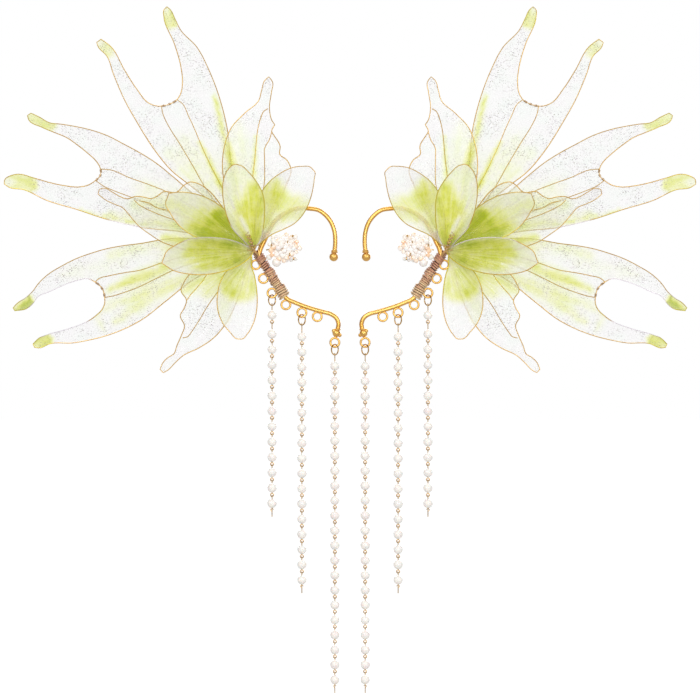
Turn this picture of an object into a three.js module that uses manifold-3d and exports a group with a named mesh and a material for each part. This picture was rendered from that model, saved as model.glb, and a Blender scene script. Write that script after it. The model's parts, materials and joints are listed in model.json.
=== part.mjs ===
// A pair of fairy-wing ear cuffs. Each cuff is a gold rod bent round the ear, with loops along its
// lower half. A thread wrap ties the stalks of film fins, film petals and a bead sprig to it, and
// pearl chains hang from three of the loops. The right cuff is the left one mirrored.
// Millimetres, +Z up. The front of the fins faces -Y. The origin is the left cuff's ear seat, the
// underside of the rod's crown, where the ear carries it.
import * as THREE from "three";
import { mergeVertices } from "three/addons/utils/BufferGeometryUtils.js";
import Module from "manifold-3d";

const wasm = await Module();
wasm.setup();

// ---------- Driving dimensions ----------
const SEATS_APART = 36; // from the left ear seat to the right one
const GAP = 0.3; // air between neighbouring pieces

const ROD_RADIUS = 1.0;
const UPPER_BALL_RADIUS = 2.0;
const LOWER_BALL_RADIUS = 1.8;
const STUD_RADIUS = 0.9; // small balls soldered round the lower ball
const COLLAR_RADIUS = 1.6;
const COLLAR_HEIGHT = 0.9;
const LOOP_RADIUS = 2.0; // to the middle of a loop's wire
const LOOP_WIRE = 0.5; // radius of a loop's wire

const RING_RADIUS = 2.35;
const RING_WIRE = 0.35;
const RING_TURN = Math.PI / 3; // how far a jump ring is turned out of the loop's plane

const PEARL_RADIUS = 2.05;
const EYE_RADIUS = 0.7; // eyes of the pearl links, to the middle of the wire
const EYE_WIRE = 0.2;
const PIN_RADIUS = 0.25;
const TOP_EYE_RADIUS = 0.85; // the first link's wider eye, round the jump ring
const END_PIN = 6.0; // last pearl's centre to the end of its pin

const FILM = 0.3; // thickness of the fins' film
const FRAME_WIRE = 0.3; // radius of the fins' frame wire
const PETAL_FILM = 0.4;
const KEEL = 1.2; // how far a petal's midrib lies behind its edges

const WRAP_WALL = 0.7;
const BUNDLE_RADIUS = 1.2; // the twisted stalks, bound behind the rod
const BUNDLE_BACK = ROD_RADIUS + 2 * GAP + BUNDLE_RADIUS; // the bundle's middle, behind the rod's
const BUNDLE_ENTRY = { share: -0.09, depth: 2.3 }; // where it bends down, as a share of the wrap
const BUNDLE_STATIONS = [0.04, 0.3, 0.6, 0.97]; // shares of the wrap that it then runs through

// ---------- Places in the left cuff's plane, as [x, z] ----------
const GATHER = [-24.8, -18.3]; // where all the stalks come together
const WRAP_TOP = [-22.7, -20.5];
const WRAP_END = [-11.3, -38.5];
const UPPER_BALL = [10.7, -20.7];
const COLLAR = [11.2, -18.4];
const LOWER_BALL = [11.9, -54.9];
const STUDS = [[13.4, 0.3, -55.8], [10.7, -0.8, -53.9]]; // [x, y, z]

const ROD_PATH = [
  UPPER_BALL, [11.4, -14], [11, -9.2], [9.5, -5.1], [7, -1.9], [3.9, 0.3], [0, ROD_RADIUS], [-3.5, 1.2],
  [-8, 0.4], [-12.6, -1.9], [-16, -5], [-18.3, -8.8], [-20.4, -13.5], [-22.2, -17.5], WRAP_TOP, [-19.9, -25],
  [-17, -29.5], [-14.1, -34], WRAP_END, [-9.8, -39.8], [-6.9, -41.1], [-2.6, -42.8], [1.7, -44.2], [6, -45.4],
  [9.5, -46.4], [11.9, -48.2], [12.8, -50.4], LOWER_BALL,
];

// Each loop's centre. The first three stand off the wrapped stretch of the rod.
const LOOPS = [
  [-24.3, -24.2], [-20.9, -30.4], [-17, -36.9], [-10.8, -42.2], [-3.6, -45.7], [3.3, -47.5], [11.2, -59.1],
];

// Fins stand behind the rod. An outline runs from the stalk round the tips and back to it.
// notch is the outline point where the fork is deepest; it parts the two sides of the frame.
const BIG_FINS = {
  upper_fin: {
    notch: 20,
    outline: [
      [-25.2, -16.3], [-29, -5], [-33, 9], [-35.8, 23], [-37, 35.5], [-40, 48.5], [-45.5, 63.5], [-51, 74],
      [-58.5, 82], [-61, 87], [-63, 91], [-64.6, 92.4], [-66, 91], [-66, 88], [-61, 75], [-58.2, 65],
      [-57.5, 58.5], [-58.4, 52.7], [-60.2, 50], [-63, 48.4], [-69.4, 47.5], [-72.2, 48.5], [-78.3, 55.4],
      [-83.8, 64], [-90, 74.5], [-94.3, 77.8], [-96.3, 76.3], [-95.6, 74.3], [-91.8, 70.3], [-88.7, 62],
      [-83.5, 50], [-77.7, 39.7], [-69.8, 27.3], [-61.5, 17.5], [-55.5, 12.8], [-44.5, 4], [-34.5, -7],
      [-26.2, -16],
    ],
    veins: [
      [[-67, 47.7], [-66.3, 44], [-63.5, 38], [-59.4, 31.5], [-53.2, 21.2], [-47.3, 10.8], [-37, -3],
        [-26.4, -14.5]],
      [[-59.8, 50.2], [-57.3, 48.3], [-55, 43.5], [-51.8, 36.6], [-49, 29.8], [-45.3, 21.8],
        [-39, 9.5], [-31, -5], [-25.9, -14.7]],
    ],
  },
  middle_fin: {
    notch: 24,
    outline: [
      [-26.6, -17.2], [-36, -7.5], [-46, 2.2], [-56.2, 10.8], [-61.8, 15.6], [-69.8, 22], [-76.6, 26.3],
      [-84.2, 30.4], [-90.7, 33.8], [-100, 37], [-107, 38.5], [-112.6, 39.4], [-117.5, 40], [-122.3, 42.7],
      [-126, 44.4], [-127.6, 43.3], [-127, 41.4], [-121, 38], [-114.3, 35.2], [-110.2, 33.5], [-105, 30],
      [-100, 26], [-96.4, 22.6], [-94.4, 19.1], [-94.4, 16.3], [-96.6, 13.9], [-100, 11.8], [-103.7, 11],
      [-110.2, 11.5], [-117, 12.9], [-124, 14.9], [-132.3, 16.8], [-135, 16.2], [-137.9, 14.2], [-138, 12.4],
      [-136, 11], [-129.2, 9.8], [-118.8, 5], [-105, 0.8], [-92, -3.5], [-76.6, -7.2], [-57.7, -9.3],
      [-42, -12.5], [-27.5, -17.6],
    ],
    veins: [
      [[-94.2, 19], [-89.4, 18.5], [-81.8, 15.3], [-73.2, 12.2], [-66, 9.4], [-52, 1.5], [-38, -8.5],
        [-28, -16.3]],
      [[-96.6, 13.9], [-92.8, 11.2], [-88.7, 9.4], [-79.7, 6], [-66, 0.5], [-52, -5], [-39, -11.2],
        [-28.3, -16.7]],
    ],
  },
  lower_fin: {
    notch: 25,
    outline: [
      [-28, -18.4], [-39, -14.2], [-51, -12.4], [-63, -12.4], [-76.6, -14.6], [-85.2, -15.7], [-92, -17],
      [-98.2, -18.8], [-105, -21.2], [-112, -24.7], [-118.2, -28.5], [-122.3, -32.3], [-125.4, -36.4],
      [-128.1, -38.8], [-132.3, -41.6], [-134, -43.5], [-133.2, -44.8], [-127.8, -43.8], [-124.7, -41.2],
      [-123, -38.8], [-117, -36], [-110.2, -32.9], [-105, -31.2], [-100, -30.4], [-96.8, -31.9],
      [-93.7, -34.7], [-92.5, -38.8], [-92.5, -41.6], [-93.7, -44.3], [-96.1, -46.7],
      [-100, -49.5], [-105, -51.6],
      [-110.2, -53.3], [-118.8, -55.7], [-122, -57], [-125, -59.8], [-124.3, -61.3], [-122.6, -61.6],
      [-117, -59.6], [-106.8, -59.3], [-100, -58.1], [-93, -56.4], [-85.8, -53.9], [-75.8, -48.9],
      [-65.5, -41], [-53.5, -31.6], [-42, -25], [-28.7, -19.6],
    ],
    veins: [
      [[-96.8, -31.9], [-95.2, -30.4], [-90.5, -29.1], [-83.5, -27.7], [-76.6, -26.6], [-66.6, -23.2],
        [-52, -19.4], [-40, -17.6], [-29.5, -18.6]],
      [[-92.5, -38.8], [-89.4, -38.3], [-85.2, -37.1], [-76.6, -33.9], [-68, -29.7], [-61.5, -26.6],
        [-51, -23], [-40, -20.3], [-29.7, -18.9]],
    ],
  },
};

const SMALL_FINS = {
  crest_fin: [
    [-24.2, -16.2], [-20.4, -8], [-15.5, 1], [-11, 11], [-8.6, 19], [-10.5, 23], [-13.6, 25.5], [-13.4, 29],
    [-16.2, 34], [-17.2, 35.7], [-15.8, 38.8], [-17, 40.5], [-18.2, 46], [-17.3, 53.5], [-16.8, 58],
    [-18.5, 60.4], [-20.3, 58.8], [-21.7, 54.5], [-23, 49.8], [-29, 44.3], [-35.4, 37.4], [-38.2, 30.2],
    [-39.2, 24.5], [-38.8, 14.5], [-35, 3.5], [-30.5, -6], [-25.2, -16],
  ],
  side_fin: [
    [-26.4, -18.2], [-40, -19], [-52, -18.5], [-61, -16], [-67, -13.7], [-71.5, -10.8], [-77, -6.7],
    [-81, -2.2], [-84.2, 1.4], [-88.7, 3.4], [-92, 5], [-95.3, 7.6], [-94.8, 9.7], [-92.8, 10.3],
    [-88.7, 8.4], [-85.2, 6.4], [-82, 5.5], [-78.7, 6.5], [-75, 6.3], [-71, 5.6], [-68.5, 6.8], [-66, 8.6],
    [-60, 8.4], [-56.3, 11.8], [-54, 13], [-51.5, 12.7], [-45, 8.7], [-40, 2.6], [-33.5, -6.5], [-26, -17.2],
  ],
  tail_fin: [
    [-27, -20], [-29.5, -30], [-33, -41], [-38.3, -51.3], [-43, -56.8], [-50, -61.6], [-57, -65],
    [-60.7, -68.3], [-63.8, -71.5], [-66, -72.7], [-67.4, -71.2], [-66.2, -68.3], [-64, -66], [-61, -64],
    [-60, -61], [-57.7, -55.7], [-56.4, -51.7], [-58.3, -46.8], [-56.7, -44], [-55.5, -40.3], [-58, -35.6],
    [-56.7, -32.2], [-54.6, -29], [-46, -24], [-36, -21.2], [-27.4, -19.3],
  ],
};

// Petals stand in front of the rod. Edge points go in pairs from the stalk to the tip.
const PETALS = {
  top_petal: {
    depth: { base: -2.6, lean: -0.26, bend: -0.001 },
    left: [[-25.6, -16.8], [-30.2, -12.8], [-34.5, -8.2], [-37, -3], [-38.5, 3], [-39, 8.5], [-38.5, 14],
      [-36.5, 18.3], [-33, 20.6]],
    right: [[-24.4, -16.8], [-21.8, -12], [-20.7, -7], [-20.3, -2], [-20.3, 3], [-21.3, 8], [-24, 13],
      [-27.3, 17], [-30.8, 20]],
  },
  inner_petal: {
    depth: { base: -1.8, lean: -0.16, bend: 0 },
    left: [[-24.2, -15.2], [-24.7, -9], [-24.5, -3], [-23.5, 3], [-21.5, 8.5], [-18, 13], [-13.5, 16.5],
      [-8.5, 19], [-3.5, 19.8], [0.5, 19.3]],
    right: [[-23.2, -15.6], [-17, -10.7], [-11.5, -8.2], [-7, -5.8], [-3.5, -2.3], [-1, 2], [0.5, 6],
      [1.5, 10.3], [2, 14], [2.2, 17.5]],
  },
  outer_upper_petal: {
    depth: { base: -1.7, lean: -0.14, bend: 0 },
    left: [[-26, -16.2], [-30, -9.5], [-34.5, -3], [-39, 1.2], [-43.5, 4.3], [-49, 6.8], [-54.5, 8],
      [-59.5, 8.2], [-63.2, 7.6]],
    right: [[-26.8, -17.1], [-32, -15.6], [-37.5, -15], [-43, -14.2], [-48.5, -12.8], [-54, -10.3],
      [-59, -6.2], [-62.5, -1.2], [-64.6, 3.6]],
  },
  outer_lower_petal: {
    depth: { base: -2.6, lean: -0.2, bend: -0.001 },
    left: [[-25.4, -17.8], [-29.5, -15.4], [-35.5, -13.2], [-42, -12.2], [-49, -12.2], [-55.5, -13.4],
      [-60.5, -15.8], [-64.5, -19]],
    right: [[-25.6, -18.8], [-28.5, -22.3], [-34, -25.6], [-40.5, -27.7], [-47.5, -28.7], [-54.8, -28.4],
      [-61, -26.9], [-66.2, -23.6]],
  },
  bottom_petal: {
    depth: { base: -1.8, lean: -0.13, bend: 0 },
    left: [[-27.5, -19.4], [-33.5, -23.5], [-38, -28], [-40.5, -33], [-41.5, -38.5], [-41.3, -44.3],
      [-39.3, -50], [-35.8, -54.5], [-32.3, -57.6]],
    right: [[-26.6, -20], [-26.3, -24.5], [-25, -28.8], [-24, -34.3], [-23.6, -40], [-24, -45.7],
      [-25.5, -51], [-28, -55.3], [-30.4, -57.6]],
  },
};

const BIG_FIN_DEPTH = { base: 3.7, lean: 0.07, bend: 0.0004 };
const SMALL_FIN_DEPTH = { base: 1.75, lean: 0.05, bend: 0 };

// Sprig of beads on the ear's side of the stem: [x, y, z, radius].
const SPRIG_ROOT = [-19.6, -1.9, -17.6];
const SPRIG_HEART = [-13, -4, -17.6]; // where the beads' wires meet
const CRYSTALS = [
  [-17.4, -4.2, -14.2, 1.7], [-14, -5, -12.6, 1.9], [-10.2, -4, -12.9, 1.9], [-7.4, -2.6, -15.6, 1.7],
  [-11.6, -6, -16.6, 2.1], [-15.8, -6, -17.6, 1.8], [-7.2, -3.4, -19.6, 1.9], [-10.9, -4.4, -21, 1.7],
];
const SPRIG_PEARLS = [[-14.8, -4.4, -23, 2.2], [-18.4, -4.4, -20.6, 1.4]];
const SPRIG_WIRE = 0.3;

// pearls counts the pearls of each stretch, from the top. firstDrop is from the jump ring's lowest
// wire to the first pearl's centre, pitch is from pearl to pearl, and extra is how much farther the
// second pearl hangs below the first.
const CHAINS = [
  { name: "short_chain", loop: 2, firstDrop: 4.3, pitch: 6.92, extra: 1.6, pearls: [7, 6] },
  { name: "middle_chain", loop: 4, firstDrop: 5.2, pitch: 6.83, extra: 0, pearls: [6, 6, 5] },
  { name: "long_chain", loop: 6, firstDrop: 5, pitch: 6.71, extra: 0, pearls: [6, 6, 5, 5] },
];

// ---------- Materials ----------
const finish = (color, roughness, metalness, opacity = 1) =>
  new THREE.MeshStandardMaterial({ color, roughness, metalness, opacity, transparent: opacity < 1 });

const GOLD = finish(0xe3ad3a, 0.25, 1);
const FRAME_GOLD = finish(0xc2a062, 0.35, 1);
const THREAD = finish(0xa5764a, 0.7, 0.2);
const FIN_FILM = finish(0xe9f0dc, 0.3, 0, 0.6);
const SMALL_FIN_FILM = finish(0xdce8b4, 0.3, 0, 0.7);
const PETAL_DYED = finish(0xc6dc6a, 0.3, 0, 0.75);
const CRYSTAL = finish(0xfbeee2, 0.1, 0.1);
const PEARL = finish(0xf3ece6, 0.25, 0.1);

// ---------- Solids ----------
function solid(geometry) {
  const bare = new THREE.BufferGeometry();
  bare.setAttribute("position", geometry.getAttribute("position"));
  bare.setIndex(geometry.index);
  const merged = mergeVertices(bare, 1e-4);
  return new wasm.Manifold(
    new wasm.Mesh({
      numProp: 3,
      vertProperties: merged.attributes.position.array,
      triVerts: Uint32Array.from(merged.index.array),
    }),
  );
}

function geometryOf(manifold) {
  const { vertProperties, triVerts } = manifold.getMesh();
  const geometry = new THREE.BufferGeometry();
  geometry.setAttribute("position", new THREE.Float32BufferAttribute(vertProperties, 3));
  geometry.setIndex(new THREE.Uint32BufferAttribute(triVerts, 1));
  geometry.computeVertexNormals();
  return geometry;
}

const joined = (geometries) => geometryOf(geometries.map(solid).reduce((sum, next) => sum.add(next)));

const at = ([x, z], y = 0) => new THREE.Vector3(x, y, z);

function polygon(radius, sides) {
  const corners = [];
  for (let i = 0; i < sides; i++) {
    const turn = ((i + 0.5) / sides) * 2 * Math.PI;
    corners.push(new THREE.Vector2(radius * Math.cos(turn), radius * Math.sin(turn)));
  }
  return new THREE.Shape(corners);
}

function tube(points, radius, sides, steps) {
  const extrudePath = new THREE.CatmullRomCurve3(points);
  return new THREE.ExtrudeGeometry(polygon(radius, sides), { steps, extrudePath });
}

function pin(from, to, radius, sides = 3) {
  const geometry = new THREE.CylinderGeometry(radius, radius, from.distanceTo(to), sides);
  const along = new THREE.Vector3().subVectors(to, from).normalize();
  geometry.applyQuaternion(new THREE.Quaternion().setFromUnitVectors(new THREE.Vector3(0, 1, 0), along));
  return geometry.translate(...new THREE.Vector3().addVectors(from, to).multiplyScalar(0.5));
}

function ball(centre, radius, across = 8, up = 5) {
  return new THREE.SphereGeometry(radius, across, up).rotateX(Math.PI / 2).translate(...centre);
}

// ---------- Film leaves ----------
// How far behind the rod's plane a leaf lies, at a place in that plane.
function depthAt({ base, lean, bend }, x, z) {
  const out = Math.hypot(x - GATHER[0], z - GATHER[1]);
  return base + lean * out + bend * out * out;
}

// A thin closed plate. points are [x, y, z] on its middle surface, faces and rim turn
// anticlockwise as seen from the front, and rim is the loop of points round its edge.
function plate(points, faces, rim, thickness) {
  const positions = [];
  for (const offset of [-thickness / 2, thickness / 2]) {
    for (const [x, y, z] of points) positions.push(x, y + offset, z);
  }
  const behind = points.length;
  const index = [];
  for (const [a, b, c] of faces) index.push(a, b, c, behind + a, behind + c, behind + b);
  rim.forEach((a, i) => {
    const b = rim[(i + 1) % rim.length];
    index.push(a, behind + a, behind + b, a, behind + b, b);
  });
  const geometry = new THREE.BufferGeometry();
  geometry.setAttribute("position", new THREE.Float32BufferAttribute(positions, 3));
  geometry.setIndex(index);
  geometry.computeVertexNormals();
  return geometry;
}

function anticlockwise(outline) {
  const flat = outline.map(([x, z]) => new THREE.Vector2(x, z));
  return THREE.ShapeUtils.isClockWise(flat) ? [...outline].reverse() : outline;
}

function fin(outline, depth, thickness) {
  const edge = anticlockwise(outline);
  const flat = edge.map(([x, z]) => new THREE.Vector2(x, z));
  const points = edge.map(([x, z]) => [x, depthAt(depth, x, z), z]);
  return plate(points, THREE.ShapeUtils.triangulateShape(flat, []), [...edge.keys()], thickness);
}

// A petal has a row of three points at each pair of edge points: edge, midrib, edge. The midrib
// lies behind the edges, most at half length.
function petal({ left, right, depth }) {
  const clockwise = THREE.ShapeUtils.isClockWise(
    [...left, ...[...right].reverse()].map(([x, z]) => new THREE.Vector2(x, z)),
  );
  const [first, last] = clockwise ? [right, left] : [left, right];
  const rows = first.length;
  const points = [];
  for (let i = 0; i < rows; i++) {
    const [[ax, az], [bx, bz]] = [first[i], last[i]];
    const [mx, mz] = [(ax + bx) / 2, (az + bz) / 2];
    const sunk = KEEL * Math.sin((Math.PI * i) / (rows - 1));
    points.push([ax, depthAt(depth, ax, az), az]);
    points.push([mx, depthAt(depth, mx, mz) + sunk, mz]);
    points.push([bx, depthAt(depth, bx, bz), bz]);
  }
  const faces = [];
  for (let i = 0; i < 3 * (rows - 1); i += 3) {
    for (const a of [i, i + 1]) faces.push([a, a + 3, a + 4], [a, a + 4, a + 1]);
  }
  const rim = [];
  for (let i = 0; i < rows; i++) rim.push(3 * i);
  rim.push(3 * rows - 2);
  for (let i = rows - 1; i >= 0; i--) rim.push(3 * i + 2);
  rim.push(1);
  return plate(points, faces, rim, PETAL_FILM);
}

// A three-sided wire along points that all lie close to the leaf's plane.
function leafWire(places, depth) {
  const setOff = FILM / 2 + GAP + FRAME_WIRE;
  const path = places.map(([x, z]) => at([x, z], depthAt(depth, x, z) - setOff));
  const positions = [];
  path.forEach((point, i) => {
    const before = path[Math.max(i - 1, 0)];
    const after = path[Math.min(i + 1, path.length - 1)];
    const along = new THREE.Vector3().subVectors(after, before).normalize();
    const across = new THREE.Vector3().crossVectors(along, new THREE.Vector3(0, 1, 0)).normalize();
    const up = new THREE.Vector3().crossVectors(along, across);
    for (let k = 0; k < 3; k++) {
      const turn = (2 * Math.PI * k) / 3;
      const corner = point.clone().addScaledVector(across, FRAME_WIRE * Math.cos(turn));
      positions.push(...corner.addScaledVector(up, FRAME_WIRE * Math.sin(turn)));
    }
  });
  const index = [0, 2, 1];
  for (let i = 0; i < path.length - 1; i++) {
    for (let k = 0; k < 3; k++) {
      const [a, b] = [3 * i + k, 3 * i + ((k + 1) % 3)];
      index.push(a, b, b + 3, a, b + 3, a + 3);
    }
  }
  const end = 3 * (path.length - 1);
  index.push(end, end + 1, end + 2);
  const geometry = new THREE.BufferGeometry();
  geometry.setAttribute("position", new THREE.Float32BufferAttribute(positions, 3));
  geometry.setIndex(index);
  return geometry;
}

// A fin's frame: both sides of the outline, joined across the stalk and the notch, and the veins.
function finFrame({ outline, notch, veins }) {
  const [start, end] = [outline[0], outline.at(-1)];
  const sides = [outline.slice(0, notch + 1), outline.slice(notch), [start, end]];
  return joined([...sides, ...veins].map((places) => leafWire(places, BIG_FIN_DEPTH)));
}

// ---------- Hook, stem and beads ----------
function loopAt(centre) {
  return new THREE.TorusGeometry(LOOP_RADIUS, LOOP_WIRE, 4, 8).rotateX(Math.PI / 2).translate(...at(centre));
}

function nearestOnRod(place) {
  const rod = new THREE.CatmullRomCurve3(ROD_PATH.map((p) => at(p))).getSpacedPoints(200);
  return rod.reduce((best, p) => (p.distanceTo(place) < best.distanceTo(place) ? p : best));
}

// The short solder neck from the rim of a loop to the rod.
function loopNeck(centre) {
  const middle = at(centre);
  const onRod = nearestOnRod(middle);
  const onRim = onRod.clone().sub(middle).setLength(LOOP_RADIUS).add(middle);
  return pin(onRim, onRod, LOOP_WIRE);
}

function earHook() {
  const lowerLoop = at(LOOPS.at(-1));
  const collar = new THREE.CylinderGeometry(COLLAR_RADIUS, COLLAR_RADIUS, COLLAR_HEIGHT, 8);
  const pieces = [
    tube(ROD_PATH.map((p) => at(p)), ROD_RADIUS, 6, 28),
    ball(at(UPPER_BALL), UPPER_BALL_RADIUS),
    collar.rotateX(Math.PI / 2).translate(...at(COLLAR)),
    ball(at(LOWER_BALL), LOWER_BALL_RADIUS),
    pin(at(LOWER_BALL), lowerLoop.clone().setZ(lowerLoop.z + LOOP_RADIUS), LOOP_WIRE),
  ];
  for (const place of STUDS) pieces.push(ball(place, STUD_RADIUS, 5, 4));
  for (const centre of LOOPS) pieces.push(loopAt(centre));
  for (const centre of LOOPS.slice(0, -1)) pieces.push(loopNeck(centre));
  return joined(pieces);
}

// The twisted stalks: a dome where the leaves meet, then a bundle along the back of the rod.
function stalkBundle() {
  const alongWrap = (t) => at([
    WRAP_TOP[0] + t * (WRAP_END[0] - WRAP_TOP[0]),
    WRAP_TOP[1] + t * (WRAP_END[1] - WRAP_TOP[1]),
  ], BUNDLE_BACK);
  const entry = alongWrap(BUNDLE_ENTRY.share).setY(BUNDLE_ENTRY.depth);
  const path = [at(GATHER), entry, ...BUNDLE_STATIONS.map(alongWrap)];
  return joined([ball(at(GATHER), BUNDLE_RADIUS, 6, 4), tube(path, BUNDLE_RADIUS, 6, 9)]);
}

function stadium(Shape, halfWidth, halfLength) {
  const straight = halfLength - halfWidth;
  const outline = new Shape();
  outline.absarc(0, straight, halfWidth, 0, Math.PI);
  outline.absarc(0, -straight, halfWidth, Math.PI, 2 * Math.PI);
  outline.closePath();
  return outline;
}

// An oval sleeve of thread turns round the rod and the bundle, notched where loops pass through.
function threadWrap() {
  const holeWidth = Math.max(ROD_RADIUS, BUNDLE_RADIUS) + GAP;
  const holeLength = (ROD_RADIUS + BUNDLE_BACK + BUNDLE_RADIUS) / 2 + GAP;
  const section = stadium(THREE.Shape, holeWidth + WRAP_WALL, holeLength + WRAP_WALL);
  section.holes.push(stadium(THREE.Path, holeWidth, holeLength));
  const [top, end] = [at(WRAP_TOP), at(WRAP_END)];
  const along = new THREE.Vector3().subVectors(end, top);
  const extrusion = { depth: along.length(), bevelEnabled: false, curveSegments: 4 };
  const sleeve = new THREE.ExtrudeGeometry(section, extrusion);
  const back = new THREE.Vector3(0, 1, 0);
  const lengthways = along.clone().normalize();
  const sideways = new THREE.Vector3().crossVectors(back, lengthways);
  const middle = (BUNDLE_BACK + BUNDLE_RADIUS - ROD_RADIUS) / 2;
  sleeve.applyMatrix4(new THREE.Matrix4().makeBasis(sideways, back, lengthways));
  sleeve.translate(top.x, middle, top.z);
  let wrap = solid(sleeve);
  for (const centre of LOOPS.slice(0, 3)) {
    const room = new THREE.TorusGeometry(LOOP_RADIUS, LOOP_WIRE + GAP, 4, 8);
    const place = at(centre);
    const neck = pin(nearestOnRod(place), place, LOOP_WIRE + GAP);
    wrap = wrap.subtract(solid(room.rotateX(Math.PI / 2).translate(...place))).subtract(solid(neck));
  }
  return geometryOf(wrap);
}

function beadSprig() {
  const root = new THREE.Vector3(...SPRIG_ROOT);
  const heart = new THREE.Vector3(...SPRIG_HEART);
  const pieces = [pin(root, heart, SPRIG_WIRE)];
  for (const [x, y, z, radius] of CRYSTALS) {
    pieces.push(new THREE.IcosahedronGeometry(radius, 0).translate(x, y, z));
    pieces.push(pin(heart, new THREE.Vector3(x, y, z), SPRIG_WIRE));
  }
  for (const [x, y, z, radius] of SPRIG_PEARLS) {
    pieces.push(ball([x, y, z], radius, 6, 4));
    pieces.push(pin(heart, new THREE.Vector3(x, y, z), SPRIG_WIRE));
  }
  return joined(pieces);
}

// ---------- Pearl chains ----------
const ringTop = LOOP_RADIUS - LOOP_WIRE - RING_WIRE - GAP; // below the loop's centre
const ringLow = ringTop + 2 * RING_RADIUS;

const eye = (radius, wire) => new THREE.TorusGeometry(radius, wire, 3, 7);

function jumpRing() {
  const ring = new THREE.TorusGeometry(RING_RADIUS, RING_WIRE, 4, 10);
  return ring.rotateX(Math.PI / 2).rotateZ(RING_TURN).translate(0, 0, -ringTop - RING_RADIUS);
}

// Pearls on a pin from just under the upper eye to low, turned about the chain's line. drops holds how
// far each pearl hangs below the upper eye's centre.
function pearlString(topEye, drops, low) {
  const waist = PEARL_RADIUS * 0.5;
  const profile = [new THREE.Vector2(0, -topEye), new THREE.Vector2(PIN_RADIUS, -topEye)];
  for (const drop of drops) {
    profile.push(new THREE.Vector2(PIN_RADIUS, PEARL_RADIUS - drop));
    profile.push(new THREE.Vector2(PEARL_RADIUS, waist - drop));
    profile.push(new THREE.Vector2(PEARL_RADIUS, -waist - drop));
    profile.push(new THREE.Vector2(PIN_RADIUS, -PEARL_RADIUS - drop));
  }
  profile.push(new THREE.Vector2(PIN_RADIUS, low), new THREE.Vector2(0, low));
  return new THREE.LatheGeometry(profile.reverse(), 5).rotateX(Math.PI / 2);
}

// A stretch of pearl links. Its upper eye is at its origin, edge-on, and its lower eye, eyeDrop below
// the last pearl, faces front.
function chainStretch(topEye, drops, eyeDrop, isLast) {
  const lowEye = -drops.at(-1) - eyeDrop;
  const low = isLast ? -drops.at(-1) - END_PIN : lowEye + EYE_RADIUS;
  return joined([
    pearlString(topEye, drops, low),
    eye(topEye, EYE_WIRE).rotateY(Math.PI / 2),
    eye(EYE_RADIUS, EYE_WIRE).rotateX(Math.PI / 2).translate(0, 0, lowEye),
  ]);
}

// ---------- Assembly ----------
const shapes = { ear_hook: [earHook(), GOLD], stalk_bundle: [stalkBundle(), FRAME_GOLD] };
shapes.thread_wrap = [threadWrap(), THREAD];
shapes.bead_sprig = [beadSprig(), CRYSTAL];
for (const [name, leaf] of Object.entries(BIG_FINS)) {
  shapes[`${name}_film`] = [fin(leaf.outline, BIG_FIN_DEPTH, FILM), FIN_FILM];
  shapes[`${name}_frame`] = [finFrame(leaf), FRAME_GOLD];
}
for (const [name, outline] of Object.entries(SMALL_FINS)) {
  shapes[name] = [fin(outline, SMALL_FIN_DEPTH, PETAL_FILM), SMALL_FIN_FILM];
}
for (const [name, leaf] of Object.entries(PETALS)) {
  shapes[name] = [petal(leaf), PETAL_DYED];
}

function named(name, geometry, material) {
  const mesh = new THREE.Mesh(geometry, material.clone());
  mesh.name = name;
  return mesh;
}

function hangChain(cuff, side, { name, loop, firstDrop, pitch, extra, pearls }) {
  const eyeDrop = (pitch - EYE_RADIUS) / 2;
  const chain = new THREE.Group();
  chain.position.copy(at(LOOPS[loop]));
  chain.add(named(`${side}_${name}_ring`, jumpRing(), GOLD));
  let hinge = -ringLow;
  pearls.forEach((count, i) => {
    const isFirst = i === 0;
    const isLast = i === pearls.length - 1;
    const topEye = isFirst ? TOP_EYE_RADIUS : EYE_RADIUS;
    const drops = [isFirst ? firstDrop : pitch - eyeDrop - EYE_RADIUS];
    while (drops.length < count) {
      const added = isFirst && drops.length === 1 ? extra : 0;
      drops.push(drops.at(-1) + pitch + added);
    }
    const geometry = chainStretch(topEye, drops, eyeDrop, isLast);
    const stretch = named(`${side}_${name}_${i + 1}`, geometry, PEARL);
    stretch.position.z = hinge;
    chain.add(stretch);
    hinge -= drops.at(-1) + eyeDrop + EYE_RADIUS;
  });
  cuff.add(chain);
}

function earCuff(side) {
  const cuff = new THREE.Group();
  for (const [name, [geometry, material]] of Object.entries(shapes)) {
    cuff.add(named(`${side}_${name}`, geometry, material));
  }
  for (const chain of CHAINS) hangChain(cuff, side, chain);
  return cuff;
}

const pair = new THREE.Group();
const rightCuff = earCuff("right");
rightCuff.position.x = SEATS_APART;
rightCuff.scale.x = -1;
pair.add(earCuff("left"), rightCuff);

export default pair;
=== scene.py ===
import json
import random
from math import atan2, copysign, cos, pi, radians, sin, sqrt

import bpy
import numpy as np
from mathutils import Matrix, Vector
from mathutils.geometry import delaunay_2d_cdt
from numpy.linalg import norm, svd


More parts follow.
